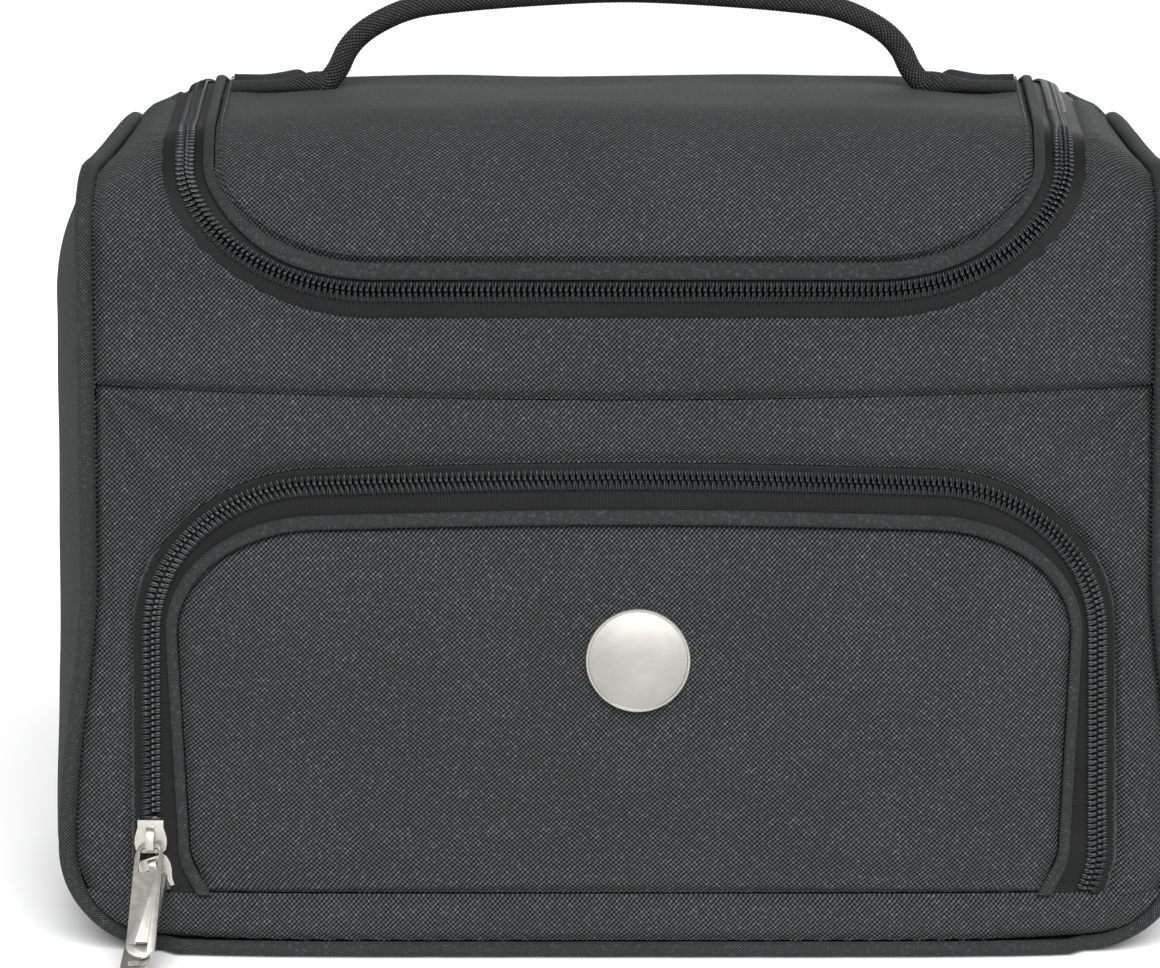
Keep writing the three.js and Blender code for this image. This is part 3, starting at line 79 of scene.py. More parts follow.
RISE_SHARES = [0, 0.007, 0.135, 0.37, 0.54, 0.71, 0.825, 0.895, 0.976, 1]
TAB_STOCK, TAB_REACH, TAB_FLANGE, RUN_FLATNESS = 1.2, 7.0, 5.2, 0.62
WRAP_LIFT = CORD_RADIUS * 2 + GAP * 2
WRAP_BASE = BASE_RADIUS - WRAP_LIFT
CORD_BASE = WRAP_BASE + GAP + CORD_RADIUS
CORD_REACH = GAP + CORD_RADIUS

# thickness of each cloth, sizes of teeth and stitches, spacing of stations along a zip, and the small
# gaps where pieces meet
CLOTH_STOCK, SIDE_STOCK, WALL_STOCK, TUB_STOCK, LINING_STOCK, GUSSET_STOCK = 2.6, 2.4, 1.2, 0.7, 0.6, 0.5
TOOTH_PITCH, TOOTH_AXIS, TOOTH_LEAN = 1.8, 0.72, 0.14
STITCH_LENGTH, STITCH_PITCH, STITCH_BOW = 2.3, 3.1, 1.2
STATION, SHORT_STATION = 1.6, 0.8
SEAM_GAP, TAPE_TUCK, BUTT_GAP, BEAD_GAP, BEAD_SINK, YOKE_GAP = 0.1, 0.2, 0.03, 0.15, 0.2, 0.4
BEAD_LOW = TAPE_TOP + GAP - BEAD_SINK

# the cloth's fullness, folds and turns into its seams, in millimetres; a band gives where something
# sets in and where it is whole
CROWN_LIFT, RIDGE_LIFT, RIDGE_FALL = 3.4, 4.0, 2.6
RIDGE_BAND, RIDGE_FALL_BAND, SIDE_BAND, CORNER_BAND = (112, 134), (136, 152), (108, 122), (122, 138)
LOWER_RISE_BAND, UPPER_RISE_BAND, SIDE_RISE_BAND = (-45, 0), (12, 32), (-62, 50)
REAR_FADE_BAND, CORNER_FADE_BAND = (58, 40), (77, 49)
BASE_FULLNESS, BASE_BAND = 7.0, (44, 4)
SIDE_FALL, SIDE_FALL_BAND = 3.0, (118, 156)
ROLL_DEPTH, ROLL_REACH, DISC_ROLL, HEM_ROLL = 1.7, 1.9, 2.2, (0.6, 1.6)
SHOULDER_ROLL, SHOULDER_BAND, YOKE_END_ROLL = (2.4, 2.6), (132, 138), (1.0, 2.0)
PANEL_CLEAR, WIDE_CLEAR, DISC_CROWDING = 14.0, 16.0, 0.55
GATHER_DEPTH, GATHER_COUNT, GATHER_REACH, CORNER_PULL, PULL_REACH = 1.1, 11, 26.0, 2.2, 18.0
ZIP_SWELL, ZIP_SWELL_PLACE, ZIP_SWELL_WIDTH = 2.0, 10.0, 8.0
FLAP_FULLNESS, FLAP_FULL_WITHIN, FLAP_WAVE, FLAP_WAVE_WITHIN = 3.0, 28.0, 0.5, 30.0
MEDALLION_BAND, WALL_WAVE = (17, 39), 0.25
LID_WAVE, LID_WAVE_WITHIN, LEG_TURN_BAND = 0.25, 25.0, (0.3, 0.9)
OUTER_TAPE_UNDER, OUTER_TAPE_RISE = 0.7, 0.25
THREAD_START, THREAD_INSET, THREAD_HEIGHT = 8.0, 2.0, 0.35
FOLD_PLACE, FOLD_WIDTH, FOLD_BAND, FOLD_DEPTH, FOLD_SPACING = 262.0, 16.0, (120, 140), 0.16, 1.05
CHEST_RISE, CHEST_PLACE, CHEST_WIDTH = 2.0, 12.0, 10.0
CHEST_DIP, DIP_PLACE, DIP_WIDTH = 1.1, 9.0, 8.0
YOKE_FALL_BAND, YOKE_LAP, LAP_TURN, LAP_WITHIN = (2, 18), 2.2, 0.7, 25.0
GUSSET_SIDE, GUSSET_HALF, GUSSET_SINK = 6.0, 4.2, 3.9
SIDE_RIPPLE_BAND, SIDE_TOP_BAND, SIDE_CROWN_FOOT = (40, 80), (0, 30), 150
BASE_LIFT, BASE_RIM, BASE_RIM_REACH = 0.05, 0.5, 1.5
CORD_SWELL, CORD_UNEVEN, CORD_THINNED, CORD_THIN_BAND = 0.22, 0.05, 0.45, (30, 4)
CORD_DIP, CORD_DIP_SHARE, CORD_DIP_WITHIN, LOWEST = 2.0, 0.86, 14.0, 0.1
CREASE_DEPTH, CREASE_WAVE, CREASE_BAND = 0.25, 0.22, (20, 50)


# the case's surface: u across, s up the front and over the top, h below the cloth
def smooth(x):
    x = np.clip(x, 0, 1)
    return x * x * (3 - 2 * x)


def ease(x, band):
    """Runs smoothly from 0 at the first place of a band to 1 at its second."""
    return smooth((x - band[0]) / (band[1] - band[0]))


def hump(x, width, centre=0.0):
    """1 at the centre, and fading away from it."""
    return np.exp(-((x - centre) / width) ** 2)


def distance(points):
    """How far each point lies along a line of points."""
    return np.concatenate([[0], np.cumsum(np.linalg.norm(np.diff(points, axis=0), axis=1))])


def unit(vectors):
    return vectors / np.linalg.norm(vectors, axis=1)[:, None]


def wall_half_width(z):
    return HALF_WIDTH + FOOT_FLARE * smooth((FLARE_HEIGHT - z) / (FLARE_HEIGHT - BASE_RADIUS))


BASE_CENTRE = float(wall_half_width(BASE_RADIUS)) - WRAP_BASE


def edge_half_width(z):
    drop = np.clip(BASE_RADIUS - z, 0, WRAP_BASE)
    low = BASE_CENTRE + np.sqrt(np.maximum(WRAP_BASE ** 2 - drop ** 2, 0))
    return np.where(z >= BASE_RADIUS, wall_half_width(z), low)


def profile(u):
    q = np.clip(np.abs(u) / HALF_WIDTH, 0, 1)
    top = SHOULDER_HEIGHT + (CROWN_HEIGHT - SHOULDER_HEIGHT) * (1 - q ** CROWN_POWER)
    front = EDGE_RADIUS + (FRONT_RADIUS - EDGE_RADIUS) * (1 - q ** 4)
    back = EDGE_RADIUS + (BACK_RADIUS - EDGE_RADIUS) * (1 - q ** 8)
    start = top - front + front * PI / 2
    end = start + HALF_DEPTH * 2 - front - back
    return q, top, front, back, top - front, start, end, end + back * PI / 2


def bulge(q, z, size):
    share = np.clip((z - BULGE_MIDDLE) / BULGE_REACH, -1, 1)
    return size * np.clip(1 - q * q, 0, 1) ** 1.3 * np.cos(share * PI / 2) ** 2


def crown_lift(u, y):
    """How far the padded top and the lid's zip stand above the plain form."""
    wide = np.abs(u)
    side, corner = ease(wide, SIDE_BAND), ease(wide, CORNER_BAND)
    front = 0.5 * ease(y, LOWER_RISE_BAND) + 0.5 * ease(y, UPPER_RISE_BAND)
    front = front * (1 - side) + ease(y, SIDE_RISE_BAND) * side
    back = ease(y, REAR_FADE_BAND) * (1 - corner) + ease(y, CORNER_FADE_BAND) * corner
    full = CROWN_LIFT + RIDGE_LIFT * ease(wide, RIDGE_BAND) - RIDGE_FALL * ease(wide, RIDGE_FALL_BAND)
    return full * front * back


def base_fullness(u, z):
    """How far the front's foot stands forward of the plain form."""
    return BASE_FULLNESS * (1 - np.clip(np.abs(u) / HALF_WIDTH, 0, 1) ** 6) * ease(z, BASE_BAND)


def surface(u, s, h):
    """Places on the case, in millimetres, for arrays of u, s and h."""
    u, s, h = np.broadcast_arrays(*(np.asarray(v, float) for v in (u, s, h)))
    q, top, front, back, arc, start, end, fall = profile(u)
    a = np.clip((s - arc) / front, 0, PI / 2)
    b = np.clip((s - end) / back, 0, PI / 2)
    y = np.select(
        [s <= arc, s <= start, s <= end, s <= fall],
        [h - HALF_DEPTH, front - HALF_DEPTH - (front - h) * np.cos(a),
         front - HALF_DEPTH + s - start, HALF_DEPTH - back + (back - h) * np.sin(b)],
        HALF_DEPTH - h)
    z = np.select(
        [s <= arc, s <= start, s <= end, s <= fall],
        [s, arc + (front - h) * np.sin(a), top - h, top - back + (back - h) * np.cos(b)],
        top - back - (s - fall))
    y = y + np.where(y < 0, -bulge(q, z, FRONT_BULGE), bulge(q, z, BACK_BULGE))
    y = y - np.where(s < arc, base_fullness(u, z), 0)
    z = z + np.where(s > arc, crown_lift(u, y), 0)
    return np.stack([u * edge_half_width(z) / HALF_WIDTH, y, z], -1)


def top_place(u, y):
    _, _, front, back, _, start, end, _ = profile(u)
    reach = y - (HALF_DEPTH - back)
    turn = end + back * np.arcsin(np.clip(reach / back, 0, 1))
    return np.where(reach <= 0, start + y + HALF_DEPTH - front, turn)


def back_place(u, z):
    _, top, _, back, _, _, _, fall = profile(u)
    return fall + top - back - z


class Route:
    """A zip's line of places (x, s), with unit normals that point into the flap."""

    def __init__(self, x, s, middle):
        self.x, self.s = np.asarray(x, float), np.asarray(s, float)
        dx, ds = np.gradient(self.x), np.gradient(self.s)
        size = np.hypot(dx, ds)
        nx, ns = -ds / size, dx / size
        turn = np.sign(nx * (middle[0] - self.x) + ns * (middle[1] - self.s))
        turn[turn == 0] = 1
        self.nx, self.ns = nx * turn, ns * turn
        self.u = self.x * HALF_WIDTH / edge_half_width(self.s)
        self.d = distance(surface(self.u, self.s, 0))

    def part(self, first, last):
        keep = slice(first, last)
        new = object.__new__(Route)
        for name in ("x", "s", "nx", "ns", "u", "d"):
            setattr(new, name, getattr(self, name)[keep])
        return new

    def at(self, d):
        new = object.__new__(Route)
        for name in ("x", "s", "nx", "ns", "u"):
            setattr(new, name, np.interp(d, self.d, getattr(self, name)))
        new.d = np.asarray(d, float)
        return new

    def beside(self, lateral):
        s = self.s + self.ns * lateral
        return (self.x + self.nx * lateral) * HALF_WIDTH / edge_half_width(s), s

    def point(self, lateral, height):
        u, s = self.beside(lateral)
        return surface(u, s, -np.asarray(height, float))


def leg_x(z):
    straight = LEG_FOOT + (LEG_TOP - LEG_FOOT) * (z - BASE_SEAM) / (CORNER_HEIGHT - BASE_SEAM)
    return straight - LEG_TURN * np.clip(1 - (z - BASE_SEAM) / LEG_TURN_HEIGHT, 0, None) ** 2


POCKET_START = BASE_SEAM + GAP
LOW_NOSE = BASE_SEAM + GAP * 2 + SLIDER_LENGTH
HIGH_NOSE = LOW_NOSE + NOSE_GAP
FLAP_START = HIGH_NOSE + SLIDER_LENGTH + 1.0
POCKET_MIDDLE = (0.0, (BASE_SEAM + POCKET_HEIGHT) / 2)
LEG_COUNT = 70


def pocket_line():
    up = np.linspace(POCKET_START, CORNER_HEIGHT, LEG_COUNT)
    a = np.linspace(0, PI / 2, 60)[1:]
    cx, ch = LEG_TOP - CORNER_WIDTH, POCKET_HEIGHT - CORNER_HEIGHT
    top = np.linspace(-cx, cx, 80)[1:-1]
    ax, az = cx + CORNER_WIDTH * np.cos(a), CORNER_HEIGHT + ch * np.sin(a)
    x = np.concatenate([-leg_x(up), -ax, top, ax[::-1], leg_x(up)[::-1]])
    s = np.concatenate([up, az, POCKET_HEIGHT + POCKET_CROWN * np.cos(top / cx * PI / 2), az[::-1], up[::-1]])
    return Route(x, s, POCKET_MIDDLE)


POCKET = pocket_line()


def up_leg(height):
    """The distance along the pocket's zip at a height on its left leg."""
    return float(np.interp(height, POCKET.s[:LEG_COUNT], POCKET.d[:LEG_COUNT]))


def flap_inset(r):
    low = (CORNER_HEIGHT - r.s) / (CORNER_HEIGHT - BASE_SEAM)
    turn = np.minimum(np.abs(r.ns), 1)
    high = INSET_LEG + (INSET_TOP - INSET_LEG) * turn * turn
    return np.where(low >= 0, INSET_LEG + (INSET_FOOT - INSET_LEG) * low, high)


def yoke_seam(u):
    return YOKE_SEAM - YOKE_SAG * (1 - (u / HALF_WIDTH) ** 2)


BEND_CENTRE = LID_LEG_BACK - BEND_RADIUS
TAIL_DEPTH = BEND_DEPTH + BEND_RADIUS
LID_MIDDLE = (0.0, float(profile(0)[5]))
TAIL_COUNT, BEND_COUNT, SIDE_COUNT, CURVE_COUNT = 24, 30, 60, 60


def lid_half(tail_end):
    tail = np.linspace(tail_end, BEND_CENTRE, TAIL_COUNT)
    a = np.linspace(PI / 2, 0, BEND_COUNT)[1:]
    bx = BEND_CENTRE + BEND_RADIUS * np.cos(a)
    leg = np.linspace(0, 1, SIDE_COUNT)[1:]
    back = float(top_place(LID_LEG_BACK, BEND_DEPTH))
    c = np.linspace(0, PI / 2, CURVE_COUNT)[1:]
    x = np.concatenate([
        tail, bx, LID_LEG_BACK + (LID_LEG_FRONT - LID_LEG_BACK) * leg,
        LID_LEG_FRONT - LID_CORNER_WIDTH + LID_CORNER_WIDTH * np.cos(c)])
    s = np.concatenate([
        top_place(tail, TAIL_DEPTH), top_place(bx, BEND_DEPTH + BEND_RADIUS * np.sin(a)),
        back + (LID_FRONT + LID_CORNER_HEIGHT - back) * leg,
        LID_FRONT + LID_CORNER_HEIGHT - LID_CORNER_HEIGHT * np.sin(c)])
    return x, s


def lid_line():
    lx, ls = lid_half(BEND_CENTRE - TAIL_LEFT)
    rx, rs = lid_half(BEND_CENTRE - TAIL_RIGHT)
    reach = LID_LEG_FRONT - LID_CORNER_WIDTH
    mid = np.linspace(-reach, reach, 90)[1:-1]
    return Route(np.concatenate([-lx, mid, rx[::-1]]),
                 np.concatenate([ls, np.full(len(mid), LID_FRONT), rs[::-1]]), LID_MIDDLE)


LID = lid_line()
HINGE_DEPTH = TAIL_DEPTH - LID_INSET + GAP + HINGE_ROLL


def bend_index(angle):
    """Station of the left rear bend at an angle, counted from the tail's end."""
    return TAIL_COUNT - 1 + int(round((PI / 2 - angle) / (PI / 2) * (BEND_COUNT - 1)))


def lid_between(angle):
    first = bend_index(angle)
    return LID.part(first, len(LID.x) - first)


# softness of the cloth
def ripple(u, s, seed):
    """A gentle unevenness of padded cloth, about one millimetre, for arrays of places."""
    k = seed * 1.7
    return (0.45 * np.sin(0.043 * u + k) * np.sin(0.055 * s + 1.3 * k)
            + 0.28 * np.sin(0.083 * u - 0.051 * s + 2.1 * k)
            + 0.16 * np.sin(0.021 * u + 0.13 * s + k) * np.cos(0.11 * u - k))


def pucker(along, away, pitch=8.0, depth=0.22, reach=7.0):
    """Small gathers beside a seam: along it, and fading away from it."""
    wave = np.sin(2 * PI * along / pitch + 1.9 * np.sin(along / 23.0))
    return depth * wave * np.exp(-away / reach)


def side_fall(u):
    """The wrap's cloth falls away towards its piping."""
    return SIDE_FALL * ease(np.abs(u), SIDE_FALL_BAND)


def roll(away, depth=ROLL_DEPTH, reach=ROLL_REACH):
    """How far cloth sinks as it turns into a seam."""
    return -depth * hump(away, reach)


def clear_of(edge, reach=PANEL_CLEAR):
    """0 at a seam and 1 well within the cloth."""
    return 1 - hump(edge, reach)


# materials
class Wires:
    """A material's node tree, with short calls for its nodes."""

    def __init__(self, name):
        self.material = bpy.data.materials.new(name)
        self.material.use_nodes = True
        self.tree = self.material.node_tree
        self.shader = next(n for n in self.tree.nodes if n.type == "BSDF_PRINCIPLED")

    def add(self, kind, inputs=None, **settings):
        n = self.tree.nodes.new("ShaderNode" + kind)
        for key, value in settings.items():
            setattr(n, key, value)
        for key, value in (inputs or {}).items():
            self.put(n.inputs[key], value)
        return n

    def put(self, socket, value):
        if isinstance(value, bpy.types.NodeSocket):
            self.tree.links.new(value, socket)
        else:
            socket.default_value = value

    def math(self, what, a, b=0.0):
        n = self.add("Math", operation=what)
        self.put(n.inputs[0], a)
        self.put(n.inputs[1], b)
        return n.outputs[0]

    def place(self, own_map):
        n = self.add("TexCoord")
        return n.outputs["UV" if own_map else "Object"]

    def split(self, vector):
        n = self.add("SeparateXYZ", {"Vector": vector})
        return n.outputs[0], n.outputs[1], n.outputs[2]

    def ramp(self, value, low, high, start=0.0, end=1.0):
        n = self.add("ValToRGB", {"Fac": value})
        n.color_ramp.elements[0].color = (*low, 1)
        n.color_ramp.elements[1].color = (*high, 1)
        n.color_ramp.elements[0].position = start
        n.color_ramp.elements[1].position = end
        return n.outputs["Color"]

    def noise(self, scale, detail=3.0, vector=None):
        n = self.add("TexNoise", {"Scale": scale, "Detail": detail})
        self.put(n.inputs["Vector"], vector or self.place(False))
        return n.outputs[0]

    def mix(self, fac, a, b, kind="MIX"):
        n = self.add("Mix", data_type="RGBA", blend_type=kind)
        for socket, value in ((n.inputs[0], fac), (n.inputs[6], a), (n.inputs[7], b)):
            self.put(socket, value)
        return n.outputs[2]

    def finish(self, colour, rough, bump=None, strength=0.5, distance=0.0002, metal=0.0, **sockets):
        self.put(self.shader.inputs["Base Color"], colour)
        self.put(self.shader.inputs["Roughness"], rough)
        self.shader.inputs["Metallic"].default_value = metal
        for key, value in sockets.items():
            self.shader.inputs[key.replace("_", " ")].default_value = value
        if bump is not None:
            b = self.add("Bump", {"Height": bump, "Strength": strength, "Distance": distance})
            self.put(self.shader.inputs["Normal"], b.outputs["Normal"])
        return self.material


def woven(name, gap, thread, pitch, depth, rough=0.8, sheen=0.25):
    """Plain-woven cloth on its own map: raised threads in diagonal rows over gaps darkened as painted shade,
    with painted glints on the threads.
    """
    w = Wires(name)
    u, v, _ = w.split(w.place(True))
    wobble = w.noise(140.0, 2.0)
    shift = w.math("MULTIPLY", w.math("SUBTRACT", wobble, 0.5), pitch * 0.35)
    wave = lambda axis, p: w.math("COSINE", w.math("MULTIPLY", w.math("ADD", axis, shift), 2 * PI / p))
    both = w.math("MULTIPLY", wave(u, pitch), wave(v, pitch))
    fibre = w.noise(2600.0, 2.0)
    slant = w.math("COSINE", w.math("MULTIPLY", w.math("SUBTRACT", u, v), 2 * PI / pitch))
    height = w.math("ADD", w.math("MULTIPLY", both, 0.38), w.math("MULTIPLY", slant, 0.12))
    height = w.math("ADD", height, w.math("ADD", w.math("MULTIPLY", fibre, 0.5), 0.2))
    patch = w.noise(28.0, 4.0)
    # painted shade: the colour follows the threads' height, so the low gaps take the near-black gap colour
    # and raised threads their own colour
    colour = w.ramp(height, gap, thread, 0.2, 0.95)
    tone = w.ramp(patch, (0.93, 0.93, 0.93), (1.07, 1.07, 1.07), 0.3, 0.7)
    # painted glints: random specks that brighten the threads' colour up to twice, standing in for highlights
    painted_glint = w.ramp(w.noise(900.0, 1.0), (0.9, 0.9, 0.9), (1.9, 1.98, 2.0), 0.52, 0.8)
    colour = w.mix(1.0, colour, tone, "MULTIPLY")
    colour = w.mix(1.0, colour, painted_glint, "MULTIPLY")
    return w.finish(colour, rough, height, 0.7, depth, Sheen_Weight=sheen, Sheen_Roughness=0.4,
                    Specular_IOR_Level=0.18)


def ribbed(name, low, high, pitch, depth, rough=0.6, sheen=0.2, fine=0.45):
    """Tape or binding on its own map: ribs across its length, with a fine twill, and painted shade darkening
    the colour where they sink.
    """
    w = Wires(name)
    u, v, _ = w.split(w.place(True))
    rib = w.math("COSINE", w.math("MULTIPLY", u, 2 * PI / pitch))
    twill = w.math("COSINE", w.math("MULTIPLY", w.math("ADD", u, v), 2 * PI / (pitch * fine)))
    height = w.math("ADD", w.math("MULTIPLY", rib, 0.3), w.math("MULTIPLY", twill, 0.15))
    height = w.math("ADD", height, w.math("MULTIPLY", w.noise(1800.0, 2.0), 0.4))
    # painted shade: the colour follows the height, so low parts between ribs and twill take the low colour
    # and raised parts the high colour
    colour = w.ramp(height, low, high, 0.0, 0.75)
    tone = w.ramp(w.noise(60.0, 3.0), (0.85, 0.85, 0.86), (1.15, 1.15, 1.14), 0.3, 0.7)
    colour = w.mix(1.0, colour, tone, "MULTIPLY")
    return w.finish(colour, rough, height, 0.5, depth, Sheen_Weight=sheen, Specular_IOR_Level=0.12)


def taffeta(name, low, high):
    """Smooth lining, with a fine thread and soft creases whose hollows are painted darker as shade."""
    w = Wires(name)
    u, v, _ = w.split(w.place(False))
    x = w.math("COSINE", w.math("MULTIPLY", w.math("ADD", u, v), 2 * PI / 0.0006))
    crease = w.noise(34.0, 2.0)
    height = w.math("ADD", w.math("MULTIPLY", x, 0.08), crease)
    # painted shade: the colour darkens where the crease noise sinks, in the creases' hollows
    return w.finish(w.ramp(crease, low, high, 0.2, 0.9), 0.6, height, 0.4, 0.0008,
                    Sheen_Weight=0.15, Specular_IOR_Level=0.4)


def nylon(name):
    """Glossy moulded teeth."""
    w = Wires(name)
    grain = w.noise(900.0, 2.0)
    return w.finish(w.ramp(grain, (0.010, 0.0105, 0.011), (0.024, 0.025, 0.027), 0.3, 0.7), 0.32, grain,
                    0.15, 0.0001, Specular_IOR_Level=0.42)


def nickel(name, colour, rough, brushed=False):
    """Plated metal: fine scratches, or straight brushing."""
    w = Wires(name)
    place = w.place(False)
    scale = (1, 1, 26) if brushed else (3, 3, 3)
    stretch = w.add("Mapping", {"Vector": place, "Rotation": (0, 0.6, 0), "Scale": scale})
    lines = w.noise(420.0 if brushed else 160.0, 4.0, stretch.outputs[0])
    shade = w.noise(70.0, 2.0)
    dark = tuple(c * (0.7 if brushed else 0.86) for c in colour)
    surface_rough = w.math("ADD", w.math("MULTIPLY", lines, 0.16), rough)
    both = w.math("ADD", w.math("MULTIPLY", lines, 0.5), w.math("MULTIPLY", shade, 0.5))
    tone = w.ramp(both, dark, colour, 0.3, 0.65)
    return w.finish(tone, surface_rough, lines, 0.12 if brushed else 0.05, 0.0001, metal=1.0)


def fibre_board(name):
    w = Wires(name)
    grain = w.noise(300.0, 5.0)
    return w.finish(w.ramp(grain, (0.18, 0.14, 0.10), (0.32, 0.26, 0.2), 0.3, 0.7), 0.85, grain, 0.4, 0.0003)


# each woven or ribbed cloth's first colour is painted shade for the low gaps between its threads or ribs, and
# its second is the threads' own colour; the woven ones also carry painted glints; the lining's first colour
# is painted shade in its creases' hollows
CLOTH = woven("woven_polyester", (0.003, 0.0033, 0.0035), (0.074, 0.0768, 0.078), 0.0015, 0.0008, sheen=0.03)
TAPE_CLOTH = ribbed("zip_tape", (0.003, 0.0031, 0.0032), (0.0145, 0.0148, 0.015), 0.0007, 0.00012, sheen=0.02)
BINDING = woven("smooth_binding", (0.006, 0.0063, 0.0066), (0.047, 0.0485, 0.049), 0.0008, 0.0003, sheen=0.03)
PIPING = woven("piping_cover", (0.006, 0.0063, 0.0066), (0.047, 0.0485, 0.049), 0.0010, 0.0003, sheen=0.03)
ROPE = woven("rope_cover", (0.002, 0.0021, 0.0022), (0.050, 0.0505, 0.049), 0.00145, 0.0006, sheen=0.03)
TAFFETA = taffeta("taffeta_lining", (0.016, 0.0165, 0.0175), (0.024, 0.025, 0.027))
NYLON = nylon("coil_nylon")
NICKEL = nickel("light_nickel", (0.58, 0.565, 0.515), 0.3)
SATIN = nickel("satin_nickel", (0.46, 0.45, 0.415), 0.36, True)
FIBRE = fibre_board("fibre_board")
# the thread's first colour is painted shade between its ribs, and its second is the thread's own colour
THREAD = ribbed("stitch_thread", (0.015, 0.016, 0.017), (0.05, 0.053, 0.056), 0.0005, 0.00005)


# making meshes
def deselect():
    if bpy.context.object and bpy.context.object.mode != "OBJECT":
        bpy.ops.object.mode_set(mode="OBJECT")
    bpy.ops.object.select_all(action="DESELECT")


def pick(obj):
    deselect()
    obj.select_set(True)
    bpy.context.view_layer.objects.active = obj


def in_edit(obj, *steps):
    pick(obj)
    bpy.ops.object.mode_set(mode="EDIT")
    bpy.ops.mesh.select_all(action="SELECT")
    for step in steps:
        step()
    bpy.ops.object.mode_set(mode="OBJECT")


def new_grid(name, places, own_map, closed=False, capped=False):
    """A grid primitive laid over rows of places (millimetres), with its map in metres."""
    rows, columns = places.shape[:2]
    deselect()
    bpy.ops.mesh.primitive_grid_add(x_subdivisions=columns - 1, y_subdivisions=rows - 1, size=2)
    obj = bpy.context.object
    obj.name = obj.data.name = name
    flat = np.empty(rows * columns * 3, np.float32)
    obj.data.vertices.foreach_get("co", flat)
    flat = flat.reshape(-1, 3)
    i = np.rint((flat[:, 1] + 1) / 2 * (rows - 1)).astype(int)
    j = np.rint((flat[:, 0] + 1) / 2 * (columns - 1)).astype(int)
    obj.data.vertices.foreach_set("co", (places[i, j] * 0.001).astype(np.float32).ravel())
    corners = np.empty(len(obj.data.loops), np.int32)
    obj.data.loops.foreach_get("vertex_index", corners)
    obj.data.uv_layers[0].data.foreach_set("uv", own_map[i, j][corners].astype(np.float32).ravel())
    obj.data.update()
    if closed or capped:
        merge = lambda: bpy.ops.mesh.remove_doubles(threshold=0.000002)
        in_edit(obj, merge, *([fill_ends] if capped else []),
                lambda: bpy.ops.mesh.select_all(action="SELECT"),
                lambda: bpy.ops.mesh.normals_make_consistent(inside=False))
    return obj


def tube(line, across, rise, wide, tall, angles):
    """Places around a line: two half widths for each point, along the two directions across it."""
    return (line[:, None] + across[:, None] * (wide[:, None] * np.cos(angles))[..., None]
            + rise[:, None] * (tall[:, None] * np.sin(angles))[..., None])


def fill_ends():
    bpy.ops.mesh.select_all(action="DESELECT")
    bpy.ops.mesh.select_mode(type="EDGE")
    bpy.ops.mesh.select_non_manifold()
    bpy.ops.mesh.edge_face_add()
    bpy.ops.mesh.select_mode(type="VERT")


def face_out(obj, centre=(0, 0, 0.11)):
    """Turns an open sheet's faces away from the case's middle."""
    mesh = obj.data
    count = len(mesh.polygons)
    normals = np.empty(count * 3, np.float32)
    middles = np.empty(count * 3, np.float32)
    mesh.polygons.foreach_get("normal", normals)
    mesh.polygons.foreach_get("center", middles)
    away = middles.reshape(-1, 3) - np.array(centre)
    if float((normals.reshape(-1, 3) * away).sum()) < 0:
        in_edit(obj, bpy.ops.mesh.flip_normals)


def thicken(obj, thickness):
    pick(obj)
    m = obj.modifiers.new("thickness", "SOLIDIFY")
    m.thickness = thickness * 0.001
    m.offset = -1
    m.use_even_offset = False
    bpy.ops.object.modifier_apply(modifier=m.name)


def finish_piece(obj, material, body, cad=(), smooth_angle=40):
    pick(obj)
    obj.data.materials.clear()
    obj.data.materials.append(material)
    bpy.ops.object.shade_smooth_by_angle(angle=math.radians(smooth_angle))
    if body:
        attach(obj, body)
    if cad:
        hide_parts(*([cad] if isinstance(cad, str) else cad))
    return obj


def sewn(obj, stock, material, body, node, smooth_angle=40):
    """Turns a sheet of cloth to face outward, gives it its thickness and finishes it."""
    face_out(obj)
    thicken(obj, stock)
    return finish_piece(obj, material, body, node, smooth_angle)


def metric_map(u, s):
    return np.stack([u, s], -1) * 0.001


def rows_between(inner, outer, shares):
    t = np.asarray(shares)[:, None]
    u = inner[0][None] * (1 - t) + outer[0][None] * t
    s = inner[1][None] * (1 - t) + outer[1][None] * t
    width = np.hypot(outer[0] - inner[0], outer[1] - inner[1])[None]
    return u, s, t * width, (1 - t) * width


def edge_dense(count):
    """Shares that crowd near both edges, where the cloth turns into its seams."""
    t = np.linspace(0, 1, count)
    return 0.5 - 0.5 * np.cos(PI * t)


def name_of_node(name):
    return name.replace("_cloth", "")


def cloth_panel(name, inner, outer, count, seed, soft=1.0, extra=None):
    """A padded panel of the wrap between two lines (u, s), on the same stations."""
    u, s, near, far = rows_between(inner, outer, edge_dense(count))
    edge = np.minimum(near, far)
    line = np.broadcast_to(distance(np.stack(inner, -1)), u.shape)
    lift = ripple(u, s, seed) * soft * clear_of(edge)
    lift = lift + roll(near) + roll(far) + pucker(line, near) + pucker(line + 3, far, 9.5)
    if extra is not None:
        lift = lift + extra(u, s, near, far)
    obj = new_grid(name, surface(u, s, -lift), metric_map(u * edge_half_width(s) / HALF_WIDTH, s))
    return sewn(obj, CLOTH_STOCK, CLOTH, "case", name_of_node(name))


